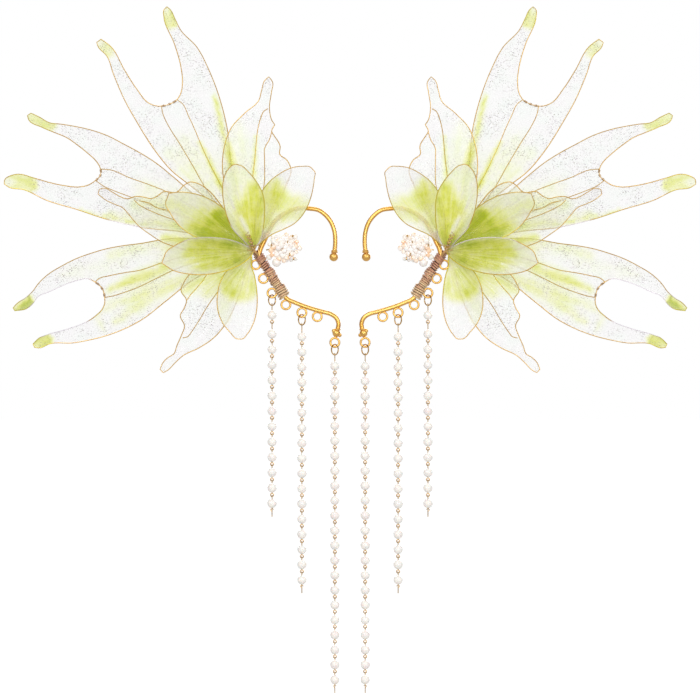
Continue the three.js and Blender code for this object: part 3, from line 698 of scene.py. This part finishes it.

# Strokes of dye: a stroke's points, its width, its strength, and how hard its edge is where it isn't
# soft. A soft stroke thins out to both ends, and the dye of a hard one has pooled along its edge. A
# negative strength lifts the dye away; a few lifts on the top petal and the lower fin paint highlights,
# pale glints on the film.
SOFT, FIRM, HARD = 2, 4, 8
POOLED = {SOFT: 0.0, FIRM: 0.0, HARD: 0.3}
DYE_AND_HIGHLIGHT_STROKES = {
    "upper_fin": [
        ([(-26, -15), (-42, 8), (-56, 30)], 10, 0.2), ([(-43, 52), (-38.6, 33), (-36.2, 20)], 1.6, 0.6),
        ([(-49, 31), (-40.5, 13), (-31, -3)], 1.2, 0.75), ([(-65.6, 92), (-63, 86)], 3.8, 0.84, HARD),
        ([(-66.4, 94), (-65, 90)], 3, -0.5), ([(-96, 77), (-91.6, 72.8)], 4, 0.58, HARD),
        ([(-97.5, 78.5), (-95, 76)], 3, -0.45), ([(-64, 26), (-44, 4)], 5, 0.15),
    ],
    "middle_fin": [
        ([(-28, -17), (-50, -4), (-74, 9)], 10, 0.24), ([(-136, 13.4), (-127, 12.2)], 4.4, 0.74, HARD),
        ([(-140, 14), (-135, 13.6)], 4, -0.55), ([(-127, 43), (-118, 39.6)], 4, 0.72, HARD),
        ([(-104, 0), (-72, -6.9)], 1.3, 0.5), ([(-90, -1), (-60, -7)], 2.8, 0.25),
    ],
    "lower_fin": [
        ([(-26, -18), (-60, -17)], 10, 0.5), ([(-90, -20), (-74, -15.5), (-50, -14)], 4, 0.28),
        ([(-90, -35.5), (-76, -29.5), (-54, -20.5)], 3.3, 0.64),
        ([(-96, -45), (-78, -38), (-52, -28)], 3.6, 0.34),
        ([(-88, -50), (-76, -42), (-58, -32)], 3.4, 0.34), ([(-98, -41), (-93, -54)], 1.8, 0.25),
        ([(-112, -28), (-84, -24)], 4, 0.12), ([(-134, -44.5), (-128, -41.4)], 4, 1.5, HARD),
        # The first lift below paints a highlight: a pale glint along the fin tip's upper edge.
        ([(-133, -42.5), (-128, -38.5)], 1.3, -0.6), ([(-125, -61), (-120, -58.6)], 4.2, 1.1, HARD),
        ([(-126, -60), (-122, -61.5)], 1.0, -0.4),
    ],
    "crest_fin": [
        ([(-37.4, 31), (-34.8, 19), (-32.6, 4)], 2.4, 0.75),
        ([(-34, 40), (-30, 14), (-26, -10)], 7, 0.18), ([(-24.4, 34), (-25.6, 8)], 1.3, 0.42),
        ([(-14, 10), (-18, -2)], 3.5, 0.5),
    ],
    "side_fin": [
        ([(-66, -12), (-46, -14), (-28, -16)], 3.2, 0.6),
        ([(-74, -5), (-61, -6.8), (-42, -10)], 2.8, 0.34), ([(-78, 3), (-58, 3), (-36, -8)], 6, 0.26),
    ],
    "tail_fin": [
        ([(-57, -36), (-46, -30), (-30, -21)], 4.4, 0.5), ([(-47, -38), (-34, -28)], 4, 0.45),
        ([(-40, -44), (-32, -28)], 3, 0.3),
    ],
    "top_petal": [
        ([(-26, -14), (-29, 4), (-32, 18)], 13, 0.18, FIRM),
        ([(-25.5, -15), (-26, -2), (-23, 8)], 6.3, 0.74, FIRM), ([(-31, -8), (-32, 4)], 5, 0.3),
        # The lifts of strength -0.8 below paint highlights: pale glints along the petal's folds.
        ([(-28, -16), (-29, -11)], 3.4, 0.36), ([(-31, -3), (-27.2, -10.5)], 1.2, -0.8),
        ([(-36.6, 8.5), (-34, 0.5)], 0.9, -0.8),
    ],
    "inner_petal": [
        ([(-20, 10), (-13, 3), (-4, 0.5)], 6.4, 0.46, FIRM),
        ([(-22, -4), (-19, 4), (-16, 9.5)], 5.6, 0.42, FIRM), ([(-22, -11), (-12, -4)], 4.5, 0.34),
        ([(-22, -14), (-18, -7)], 1.5, -0.25),
    ],
    "outer_upper_petal": [
        ([(-27, -15.5), (-37, -9.5), (-46, -12)], 6.2, 1.0, FIRM), ([(-27, -15), (-38, -8)], 5, 1.0),
        ([(-38, -6), (-54, -8)], 6.5, 0.7), ([(-31.5, -12.5), (-40.5, -2)], 3.6, 0.8, FIRM),
        ([(-42, 1), (-62, 3)], 8, 0.4), ([(-60, 6), (-50, 3)], 2.6, -0.5),
    ],
    "outer_lower_petal": [
        ([(-26, -18), (-36, -20), (-49, -19.5)], 8.2, 0.72, FIRM),
        ([(-30, -22), (-39, -25.8)], 2.8, 0.48), ([(-54, -13.8), (-32, -15)], 2.4, 0.56),
        ([(-66, -21), (-54, -20)], 8, 0.06), ([(-62, -24), (-52, -21)], 0.8, -0.5),
        ([(-58, -26), (-50, -24)], 0.7, -0.5),
    ],
    "bottom_petal": [
        ([(-27, -20), (-31, -27.5), (-31, -31.5)], 10, 0.72, HARD),
        ([(-39, -48), (-37, -38)], 3.6, 0.2, HARD),
    ],
}


def dye_at(places, strokes):
    """How much dye there is at each place in the plane, from 0 to 1, lowered where a lift paints a
    highlight.
    """
    dye = np.zeros(len(places))
    for line, width, strength, *kind in strokes:
        edge = kind[0] if kind else SOFT
        away, share = nearest_on(places, np.array(line, float))
        taper = 0.55 + 0.45 * np.sin(pi * share) if edge == SOFT else 1.0
        reach = away / (width * taper)
        cover = np.exp(-(reach**edge)) * (1 - POOLED[edge] * (1 - np.minimum(reach, 1) ** 2))
        if strength < 0:
            dye *= 1 + strength * cover
        else:
            dye = 1 - (1 - dye) * (1 - strength * cover)
    return np.clip(dye, 0, 1)


def in_space(places, depth):
    """Places in the plane as points, at a leaf's depth."""
    places = np.asarray(places, float)
    base, lean, bend = depth
    out = norm(places - GATHER, axis=1)
    return np.column_stack([places[:, 0], base + lean * out + bend * out * out, places[:, 1]])


# Stretches of edge where the wire is worn away.
BARE_EDGES = {
    "lower_fin": [
        [(-127.5, -40.8), (-117, -36), (-105, -31.2), (-101, -30.6)],
        [(-118.8, -55.7), (-110.2, -53.3), (-102, -50.4)],
    ],
    "middle_fin": [[(-88, -4.4), (-78, -6.9)]],
    "outer_lower_petal": [[(-54, -13.2), (-45, -12.3), (-36, -13.2), (-29, -15.8)]],
    "top_petal": [[(-34, -9), (-29, -14)], [(-21.5, -11), (-23.4, -15)]],
}
BARE_REACH = 2.6
# The coils of binding wire round a big fin's fork, and the shares of the fork where each runs.
FORK_COIL = {"radius": 0.42, "wire": 0.14, "turns": 5}
FORK_RUNS = ((0.04, 0.26), (0.42, 0.58), (0.78, 0.96))
COIL_WEAR = 0.25


def front_outline(node):
    """The rim of a CAD node's front face as (x, z) in mm, in order, from the end nearest the gather."""
    mesh = frame["nodes"][node].data
    following = {}
    for polygon in mesh.polygons:
        if polygon.normal.y > -0.5:
            continue
        loop = [tuple(round(c / MM, 2) for c in mesh.vertices[i].co.xz) for i in polygon.vertices]
        for a, b in zip(loop, loop[1:] + loop[:1]):
            if a in following.get(b, ()):
                following[b].discard(a)
            else:
                following.setdefault(a, set()).add(b)
    corners = [corner for corner in following if following[corner]]
    first = min(corners, key=lambda corner: norm(np.array(corner) - GATHER))
    outline, here = [first], next(iter(following[first]))
    while here != first:
        outline.append(here)
        here = next(iter(following[here]))
    return np.array(outline)


def inside(places, outline):
    x, z = places[:, 0:1], places[:, 1:2]
    (ax, az), (bx, bz) = outline.T, np.roll(outline, -1, 0).T
    spans = (az > z) != (bz > z)
    crossing = ax + (z - az) * (bx - ax) / np.where(bz == az, 1e-12, bz - az)
    return ((spans & (x < crossing)).sum(1) % 2) == 1


def film_faces(rim, creases, grid):
    """A fine triangle mesh of the area inside a closed rim, with edges along the creases."""
    low, high = rim.min(0), rim.max(0)
    columns = np.arange(low[0], high[0], grid)
    rows = np.arange(low[1], high[1], grid * sqrt(3) / 2)
    cells = np.array([(x + grid / 2 * (r % 2), z) for r, z in enumerate(rows) for x in columns])
    cells = cells[inside(cells, rim)]
    cells = cells[away_from(cells, [rim, *creases]) > 0.55 * grid]
    points = [Vector(p) for p in rim[:-1]]
    edges = []
    for crease in creases:
        kept = crease[inside(crease, rim)]
        kept = kept[away_from(kept, [rim]) > 0.3 * grid]
        start = len(points)
        points += [Vector(p) for p in kept]
        edges += [(start + i, start + i + 1) for i in range(len(kept) - 1)]
    points += [Vector(p) for p in cells]
    found, _, faces, *_ = delaunay_2d_cdt(points, edges, [list(range(len(rim) - 1))], 1, 1e-4)
    return np.array([tuple(p) for p in found]), [tuple(face) for face in faces]


def grain_of(places):
    """Coordinates for streaks that fan out from the gather: across the fan, along it."""
    out = places - GATHER
    reach = norm(out, axis=1)
    turn = np.arctan2(out[:, 1], -out[:, 0])
    return np.column_stack([turn * 22, reach * 0.07, np.zeros(len(places))])


def cupped(places, edge, cup):
    """How far each place of a petal lies behind its flat shape, cupped across its length."""
    tip = int(np.argmax(norm(edge - GATHER, axis=1)))
    near, far = away_from(places, [edge[: tip + 1]]), away_from(places, [edge[tip:]])
    across = (near - far) / np.maximum(near + far, 1e-9)
    axis = edge[tip] - edge[0]
    t = np.clip(((places - edge[0]) @ axis) / (axis @ axis), 0, 1)
    return cup * (1 - across**2) * np.sin(pi * t)


def leaf_wires(name, depth, edge, veins, is_forked):
    """The wire round a leaf's film, thinner towards the tip, with the veins and the fork's coils."""
    wires = Shape(WIRE)
    bare = [np.array(line, float) for line in BARE_EDGES.get(name, [])]
    out = norm(edge - GATHER, axis=1)
    edge_radius = EDGE_WIRE * (1.05 - 0.3 * (out / out.max()))
    for line, radius in [(edge, edge_radius), *((vein, VEIN_WIRE) for vein in veins)]:
        made = tube(in_space(line, depth), radius, 6)
        flat = made["points"][:, [0, 2]]
        at_root = np.exp(-norm(flat - GATHER, axis=1) / STAIN_REACH)
        worn = np.exp(-((away_from(flat, bare) / BARE_REACH) ** 4)) if bare else 0.0
        wires.add(**made, dye=dye_at(flat, DYE_AND_HIGHLIGHT_STROKES[name]) + ROOT_STAIN * at_root, rim=worn)
    if is_forked:
        ends = [int(np.argmin(norm(edge - vein[0], axis=1))) for vein in veins]
        fork = in_space(edge[min(ends) : max(ends) + 1], depth)
        for start, stop in FORK_RUNS:
            wires.add(**coil(fork, start, stop, **FORK_COIL), rim=COIL_WEAR)
    return wires


def flat_size(places, faces):
    """A film's length and width in mm along its own axes, and its area."""
    area = sum(abs(np.cross(places[b] - places[a], places[c] - places[a])) for a, b, c in faces) / 2
    middle = places - places.mean(0)
    axes = svd(middle, full_matrices=False)[2]
    spread = np.ptp(middle @ axes.T, axis=0)
    return spread[0], spread[1], float(area)


def leaf(name, depth, finish, grid, cup=0.0, is_forked=False):
    """A film leaf and its wires, on both cuffs. A forked fin's film and frame are two CAD nodes."""
    film_cad, wire_cad = (f"{name}_film", f"{name}_frame") if is_forked else (name, name)
    outline = smooth(front_outline(f"left_{film_cad}"), grid * 0.7, closed=True)
    edge = np.vstack([outline, outline[:1]])
    veins = [smooth(line, grid * 0.7) for line in VEINS.get(name, [])]
    places, faces = film_faces(edge, veins, grid)
    from_wire = away_from(places, [edge, *veins])
    points = in_space(places, depth)
    points[:, 1] += FILM_SAG * (1 - np.exp(-((from_wire / SAG_REACH) ** 2)))
    if cup:
        points[:, 1] += cupped(places, edge, cup)
    # The length of its name shifts a leaf's place in the materials' noises.
    film = Shape(finish)
    film.add(
        points,
        faces,
        grain=grain_of(places) + (0, 0, len(name) * 2.3),
        plane=np.column_stack([places, np.full(len(places), len(name) * 3.7)]),
        dye=dye_at(places, DYE_AND_HIGHLIGHT_STROKES[name]),
        rim=np.exp(-away_from(places, [edge]) / EDGE_FADE),
    )
    films = both(film, f"{name}_membrane", film_cad, crease=80)
    wires = leaf_wires(name, depth, edge, veins, is_forked)
    wired = both(wires, f"{name}_wires", wire_cad)
    length, width, area = flat_size(places, faces)


for leaf_name in ("upper_fin", "middle_fin", "lower_fin"):
    leaf(leaf_name, BIG_DEPTH, FIN_FILM, grid=1.7, is_forked=True)
for leaf_name in ("crest_fin", "side_fin", "tail_fin"):
    leaf(leaf_name, SMALL_DEPTH, SMALL_FIN_FILM, grid=1.4)
for leaf_name, leaf_depth in PETAL_DEPTHS.items():
    leaf_film = TOP_PETAL_PAINTED_LIGHT_FILM if leaf_name == "top_petal" else PETAL_FILM
    leaf(leaf_name, leaf_depth, leaf_film, grid=1.1, cup=PETAL_CUP)


# ---------- Ear hook ----------
ROD_RADIUS = 1.0
LOOP_RADIUS = 2.0
LOOP_WIRE = 0.5
UPPER_BALL = (10.7, -20.7)
LOWER_BALL = (11.9, -54.9)
WRAP_TOP = (-22.7, -20.5)
WRAP_END = (-11.3, -38.5)
# The rod's route and the loops' middles, as (x, z).
ROD_PATH = [
    UPPER_BALL, (11.4, -14), (11, -9.2), (9.5, -5.1), (7, -1.9), (3.9, 0.3), (0, ROD_RADIUS), (-3.5, 1.2),
    (-8, 0.4), (-12.6, -1.9), (-16, -5), (-18.3, -8.8), (-20.4, -13.5), (-22.2, -17.5), WRAP_TOP,
    (-19.9, -25), (-17, -29.5), (-14.1, -34), WRAP_END, (-9.8, -39.8), (-6.9, -41.1), (-2.6, -42.8),
    (1.7, -44.2), (6, -45.4), (9.5, -46.4), (11.9, -48.2), (12.8, -50.4), LOWER_BALL,
]
LOOPS = [
    (-24.3, -24.2), (-20.9, -30.4), (-17, -36.9), (-10.8, -42.2), (-3.6, -45.7), (3.3, -47.5),
    (11.2, -59.1),
]
LAST_LOOP_WAYS = (0.62, 0, -0.785), (0.785, 0, 0.62)
# The end balls and the two studs as place, depth and radius, and the collars as place, radius and wire.
BALLS = [(UPPER_BALL, 0, 2.0), (LOWER_BALL, 0, 1.8), ((13.4, -55.8), 0.3, 0.9), ((10.7, -53.9), -0.8, 0.9)]
COLLARS = [((11.0, -18.5), 1.15, 0.42), ((11.0, -17.9), 0.95, 0.42), ((12.25, -53.3), 1.15, 0.45)]
# A soldered joint's radius from the loop's wire to the rod.
SOLDER = [0.5, 0.55, 0.68, 0.85, 0.9]


def at(place, depth=0.0):
    return np.array([place[0], depth, place[1]])


hook = Shape(GOLD)
rod = smooth([at(p) for p in ROD_PATH], 0.7)
hook.add(**tube(rod, ROD_RADIUS, 16))
for place, depth, radius in BALLS:
    hook.add(**ball(at(place, depth), radius))
for place, radius, wire in COLLARS:
    hook.add(**ring(at(place), radius, wire, X, Y, 24, 8))
for centre in LOOPS[:-1]:
    middle = at(centre)
    nearest = rod[np.argmin(norm(rod - middle, axis=1))]
    hook.add(**ring(middle, LOOP_RADIUS, LOOP_WIRE, X, Z, 32, 10))
    rim_point = middle + unit(nearest - middle) * LOOP_RADIUS
    hook.add(**tube(np.linspace(rim_point, nearest, len(SOLDER)), SOLDER, 10))
last_loop = at(LOOPS[-1])
hook.add(**ring(last_loop, LOOP_RADIUS, LOOP_WIRE, *LAST_LOOP_WAYS, 32, 10, opening=0.035))
hook.add(**tube([at(LOWER_BALL), last_loop + (0.1, 0, LOOP_RADIUS)], LOOP_WIRE, 10))
both(hook, "ear_hook_gold", "ear_hook")


# ---------- Stalks ----------
BUNDLE_RADIUS = 1.2
BUNDLE_BACK = 2.8
GATHER_BACK = 2.3
BUNDLE_START = 1.6
BUNDLE_LENGTH = 15
STALK_WIRE = 0.26
STALK_STAIN = 0.35
# Each leaf's stalk: where it leaves the leaf as (x, z), and its depth there.
STALK_ROOTS = [
    ((-25.2, -16.3), 3.9), ((-26.6, -17.2), 4.1), ((-28, -18.4), 4.1), ((-24.6, -16), 1.9),
    ((-26.4, -18.2), 1.9), ((-27, -20), 1.9), ((-25, -16.8), -2.9), ((-23.7, -15.4), -2.2),
    ((-26.4, -16.7), -2.0), ((-25.5, -18.2), -2.8), ((-27, -19.7), -2.1),
]
# The curl of wire on the top petal: its line, its coil and the rings beside it.
CURL_TOP, CURL_FOOT = (-28.4, -6.4, -9.9), (-25.0, -3.4, -17.2)
CURL_CORE = 0.24
CURL_COIL = {"radius": 0.95, "wire": 0.18, "turns": 4}
CURL_RINGS = [((-27.3, -6.3, -11.6), 0.8), ((-26.4, -5.4, -13.9), 0.7), ((-25.3, -4.2, -16.2), 0.75)]
CURL_RING_WIRE = 0.16
CURL_RING_WAYS = (0.8, 0, 0.6), (-0.5, 0.5, 0.7)
CURL_WEAR = 0.35
# The fine strands in front of the gather, and the two bends they share.
STRAND_ROOTS = [
    (-27.4, -4.0, -15.4), (-26.2, -3.9, -14.8), (-28.2, -3.7, -17.3), (-26.8, -3.3, -19.4),
    (-24.6, -3.4, -15.2),
]
STRAND_BENDS = [(-24.6, -2.9, -18.4), (-23.3, -2.2, -19.9)]
STRAND_WIRE = 0.2
STRAND_WEAR = 0.1
# The short brown stem beside the rod.
BROWN_STEM = [(-20.4, -0.2, -9.5), (-21.8, -0.5, -14.0), (-23.1, -0.6, -18.4), (-22.6, -0.4, -21.5)]
BROWN_RADIUS = 0.48
top, end = at(WRAP_TOP), at(WRAP_END)
down = unit(end - top)
sideways = unit(np.cross(Y, down))


def round_stem(turn):
    """The way out from the wrapped stem, at a turn round it."""
    return sideways * cos(turn) + Y * sin(turn)


def stalk(root, depth, turn, is_inner):
    """A stalk's route through the gather and down behind the rod, in a bundle with half a turn of twist."""
    path = [at(root, depth), at(GATHER, depth * 0.35) + (0.25 * cos(turn), 0, 0.25 * sin(turn))]
    for t in np.arange(1, 9) / 8:
        back = GATHER_BACK + min(t * 3, 1) * (BUNDLE_BACK - GATHER_BACK)
        heart = top + down * (t * BUNDLE_LENGTH - BUNDLE_START) + (0, back, 0)
        off = round_stem(turn + TURN * 0.5 * t) * (BUNDLE_RADIUS - 0.3)
        path.append(heart + off * (0.35 if is_inner else 0.95))
    return smooth(path, 0.8, corner=120)


stalks = Shape(WIRE, LINK_GOLD)
for i, (root, root_depth) in enumerate(STALK_ROOTS):
    path = stalk(root, root_depth, TURN * i / len(STALK_ROOTS), i % 3 == 0)
    stalks.add(**tube(path, STALK_WIRE, 6), dye=STALK_STAIN)
curl_line = np.linspace(CURL_TOP, CURL_FOOT, 12)
stalks.add(**coil(curl_line, 0.0, 0.85, **CURL_COIL), rim=CURL_WEAR)
for centre, radius in CURL_RINGS:
    stalks.add(**ring(centre, radius, CURL_RING_WIRE, *CURL_RING_WAYS, 16, 6))
stalks.add(**tube(curl_line[4:], CURL_CORE, 6), finish=1)
for root in STRAND_ROOTS:
    strand = smooth([root, *STRAND_BENDS, top + down * 1.6 + (0, -1.3, 0)], 0.6, corner=120)
    beside = (0.1 * (root[2] + 17), 0, 0.1 * (root[0] + 26))
    stalks.add(**tube(strand + beside, STRAND_WIRE, 6), rim=STRAND_WEAR)
stalks.add(**tube(smooth(BROWN_STEM, 0.6), BROWN_RADIUS, 10), finish=1)
both(stalks, "twisted_stalks", "stalk_bundle")


# ---------- Thread wrap ----------
THREAD_RADIUS = 0.41
WRAP_SLACK = 0.22
LOOSE_TOP = 0.07
UNEVEN_PITCH = 0.008
UNEVEN_LIFT = 0.1
NECK_TURNS = 4
NECK_RADIUS = 1.1
NECK_THREAD = 0.8
# Each run of thread: the shares of the wrap's length where it starts and stops, its turns, its height
# above the first layer, its random seed, and its thickness as a share of the first layer's.
THREAD_RUNS = [
    (-0.02, 1.0, 23, 0.0, 3, 1.0),
    (0.99, 0.76, 4.6, 0.6, 5, 1.0),
    (0.56, 0.34, 4.2, 0.36, 8, 0.9),
    (-0.04, 0.12, 3.2, 0.3, 9, 0.8),
    (0.16, 0.7, 1.2, 0.5, 11, 0.7),
]
wrap = Shape(THREAD)
wrap_length = norm(end - top)
wrap_middle = (BUNDLE_BACK + BUNDLE_RADIUS - ROD_RADIUS) / 2
half_wide = BUNDLE_RADIUS + WRAP_SLACK
half_deep = (ROD_RADIUS + BUNDLE_BACK + BUNDLE_RADIUS) / 2 + WRAP_SLACK


def stem_middle(t):
    """The middle of the wrapped stem, t of the way down it."""
    return top + down * (t * wrap_length) + (0, wrap_middle, 0)


def wound(t, turn, swell):
    """A place on the winding: t down the stem, turn round it, swell outside the stem."""
    c, s = cos(turn), sin(turn)
    flat = half_deep - half_wide
    out = sideways * c * (half_wide + swell) + Y * (s * (half_wide + swell) + copysign(flat, s))
    return stem_middle(t) + out


def winding(start, stop, turns, lift, seed):
    """One run of thread with uneven turns: its places, each with the stem's middle there."""
    draws = random.Random(seed)
    count = int(turns * 22)
    wander = [draws.uniform(-1, 1) for _ in range(int(turns) + 3)]
    run = []
    for i in range(count + 1):
        u = i / count
        whole, part = divmod(turns * u, 1)
        drift = wander[int(whole)] * (1 - part) + wander[int(whole) + 1] * part
        t = start + (stop - start) * (u + LOOSE_TOP * sin(pi * u)) + drift * UNEVEN_PITCH
        swell = THREAD_RADIUS + lift + UNEVEN_LIFT * drift
        run.append((wound(t, TURN * turns * u, swell), stem_middle(t)))
    return run


def neck_winding():
    """The thread's last turns, drawn in to the gather."""
    run = []
    for u in np.linspace(0, 1, NECK_TURNS * 20):
        reach = (half_wide + THREAD_RADIUS) * (1 - u) + NECK_RADIUS * u
        heart = stem_middle(0) * (1 - u) + at(GATHER, 0.2) * u
        run.append((heart + reach * round_stem(TURN * NECK_TURNS * u), heart))
    return run


def lay_thread(run, radius, sides=8):
    """A run of thread. dye is 1 on the side that faces out and 0 against the stem, for the material's
    painted shade.
    """
    path, hearts = np.array(run).swapaxes(0, 1)
    made = tube(path, radius, sides)
    outward = (path - hearts) / norm(path - hearts, axis=1)[:, None]
    height = ((made["points"] - np.repeat(path, sides, 0)) * np.repeat(outward, sides, 0)).sum(1)
    wrap.add(**made, dye=0.5 + 0.5 * height / radius)


# The rod and the bundle under the thread, so that no gap shows through it: dark sleeves of thread, painted
# shade seen between the turns.
for back, radius in ((0.0, ROD_RADIUS + 0.2), (BUNDLE_BACK, BUNDLE_RADIUS + 0.2)):
    wrap.add(**tube([top + (0, back, 0), end + (0, back, 0)], radius, 16))
for *run, thickness in THREAD_RUNS:
    lay_thread(winding(*run), THREAD_RADIUS * thickness)
lay_thread(neck_winding(), THREAD_RADIUS * NECK_THREAD)
both(wrap, "wound_thread", "thread_wrap", crease=60)


# ---------- Bead sprig ----------
SPRIG_ROOT = np.array((-19.6, -1.9, -17.6))
SPRIG_HEART = np.array((-13.0, -4.0, -17.6))
SPRIG_MIDDLE = np.array((-11.6, -4.6, -16.4))
SPRIG_HALF = (7.4, 1.7, 6.2)
SPRIG_BEADS = 38
SPRIG_SIZES = (1.05, 1.45)
SPRIG_UNEVEN = 0.3
SPRIG_TILT = 0.4
SPRIG_STEM = 0.3
HAIR_WIRE = 0.12
HAIR_EYE = {"radius": 0.5, "wire": 0.24}
# Pearls as x, y, z and radius.
SPRIG_PEARLS = [
    (-14.9, -4.6, -23.2, 2.0), (-18.2, -4.4, -20.8, 1.3), (-10.4, -4.8, -22.2, 1.0),
    (-8.4, -4.6, -22.0, 0.95), (-6.5, -4.2, -21.6, 0.9), (-12.3, -5, -22.0, 0.9),
]
GOLDEN_TURN = TURN * 0.381966
sprig = Shape(CRYSTAL, LINK_GOLD, PEARL)
sprig_draws = random.Random(21)


def sprig_bead(centre, radius, is_pearl, has_eye):
    """One bead on its hair of wire, some with the wire's bent end showing."""
    out = unit(centre - SPRIG_HEART) + (0, -0.5, 0)
    out = unit(out + np.array([sprig_draws.uniform(-SPRIG_TILT, SPRIG_TILT) for _ in range(3)]))
    if is_pearl:
        sprig.add(**lathe(pearl_profile(radius, 0.2), centre, 18, out), finish=2)
    else:
        sprig.add(**faceted_bead(centre, radius, out))
    path = smooth([SPRIG_HEART, (SPRIG_HEART + centre) / 2 + (0, 0.8, 0), centre], 1.2)
    sprig.add(**tube(path, HAIR_WIRE, 5))
    if has_eye:
        tip = centre + out * radius * 0.9
        eye = ring(tip, first=unit(np.cross(out, X)), second=out, count=10, sides=6, **HAIR_EYE)
        sprig.add(**eye, finish=1)


for i in range(SPRIG_BEADS):
    out = sqrt((i + 0.5) / SPRIG_BEADS)
    turn = i * GOLDEN_TURN
    nearness = sqrt(1 - out * out * 0.9) + sprig_draws.uniform(-SPRIG_UNEVEN, SPRIG_UNEVEN)
    offset = np.array((out * cos(turn), -nearness, out * sin(turn))) * SPRIG_HALF
    sprig_bead(SPRIG_MIDDLE + offset, sprig_draws.uniform(*SPRIG_SIZES), i % 9 == 4, i % 7 == 3)
for x, y, z, radius in SPRIG_PEARLS:
    sprig_bead(np.array((x, y, z)), radius, True, False)
sprig_stem = smooth([SPRIG_ROOT, (SPRIG_ROOT + SPRIG_HEART) / 2 + (0, 0, 0.4), SPRIG_HEART], 0.6)
sprig.add(**tube(sprig_stem, SPRIG_STEM, 8), finish=1)
both(sprig, "bead_sprig_cluster", "bead_sprig", crease=20)


# ---------- Pearl chains ----------
RING_RADIUS = 2.35
RING_WIRE = 0.3
RING_TURN = radians(50)
RING_SLACK = 0.35
PEARL_RADIUS = 2.05
PEARL_SIZES = (0.97, 1.02)
PEARL_TILT = 0.06
EYE_RADIUS = 0.7
EYE_WIRE = 0.21
TOP_EYE_RADIUS = 0.85
END_PIN = 6.0
END_LOOP = {"radius": 0.62, "wire": 0.14, "opening": 0.2}
END_LOOP_DROP = 2.9
# Each chain's name, loop, first drop, pitch from pearl to pearl, extra drop of the second pearl, and
# how many pearls each stretch has.
CHAINS = [
    ("short_chain", 2, 4.3, 6.92, 1.6, [7, 6]),
    ("middle_chain", 4, 5.2, 6.83, 0.0, [6, 6, 5]),
    ("long_chain", 6, 5.0, 6.71, 0.0, [6, 6, 5, 5]),
]
ring_drop = LOOP_RADIUS - LOOP_WIRE - RING_SLACK - RING_WIRE + RING_RADIUS
hinges = [joint for joint in frame["joints"] if joint["type"] == "hinge"]
pivots = {hinge["child"]: Vector(hinge["pos_m"]) / MM for hinge in hinges}


def hang_pearl(shape, top_eye, top_radius, centre, low_eye, draws):
    """One link: a pearl on a wire with an eye at each end, the upper edge-on and the lower facing front.
    The last link has no lower eye, and its wire ends in a small loop and a pin."""
    size = PEARL_RADIUS * draws.uniform(*PEARL_SIZES)
    tilt = (draws.uniform(-PEARL_TILT, PEARL_TILT), draws.uniform(-PEARL_TILT, PEARL_TILT), 1)
    shape.add(**lathe(pearl_profile(size, 0.22), centre, 20, tilt))
    shape.add(**ring(top_eye, top_radius, EYE_WIRE, Y, Z, 18, 7), finish=1)
    shaft_end = centre - (0, 0, END_PIN) if low_eye is None else low_eye + (0, 0, EYE_RADIUS)
    shape.add(**tube(np.linspace(top_eye - (0, 0, top_radius), shaft_end, 4), EYE_WIRE, 7), finish=1)
    if low_eye is None:
        end_loop = ring(centre - (0, 0, END_LOOP_DROP), first=X, second=Z, count=16, sides=7, **END_LOOP)
        shape.add(**end_loop, finish=1)
    else:
        shape.add(**ring(low_eye, EYE_RADIUS, EYE_WIRE, X, Z, 18, 7), finish=1)


for chain_index, (chain, loop, first_drop, pitch, extra, counts) in enumerate(CHAINS):
    jump = Shape(LINK_GOLD)
    turned = (cos(RING_TURN), sin(RING_TURN), 0)
    ring_centre = at(LOOPS[loop]) - (0, 0, ring_drop)
    jump.add(**ring(ring_centre, RING_RADIUS, RING_WIRE, turned, Z, 36, 9, opening=0.01))
    both(jump, f"{chain}_jump_ring", f"{chain}_ring", body=f"{chain}_ring")
    draws = random.Random(40 + chain_index)
    eye_drop = (pitch - EYE_RADIUS) / 2
    next_drop = pitch - eye_drop - EYE_RADIUS
    # How far each of the chain's pearls hangs below its upper eye.
    drops = [first_drop, next_drop + extra] + [next_drop] * (sum(counts) - 2)
    pearl = 0
    for i, count in enumerate(counts):
        body = f"{chain}_{i + 1}"
        stretch = Shape(PEARL, LINK_GOLD)
        upper = np.array(pivots[f"left_{body}"])
        for drop in drops[pearl : pearl + count]:
            centre = upper - (0, 0, drop)
            pearl += 1
            low_eye = None if pearl == len(drops) else centre - (0, 0, eye_drop)
            hang_pearl(stretch, upper, TOP_EYE_RADIUS if pearl == 1 else EYE_RADIUS, centre, low_eye, draws)
            upper = centre - (0, 0, eye_drop + EYE_RADIUS)
        both(stretch, f"{body}_pearls", body, body=body)
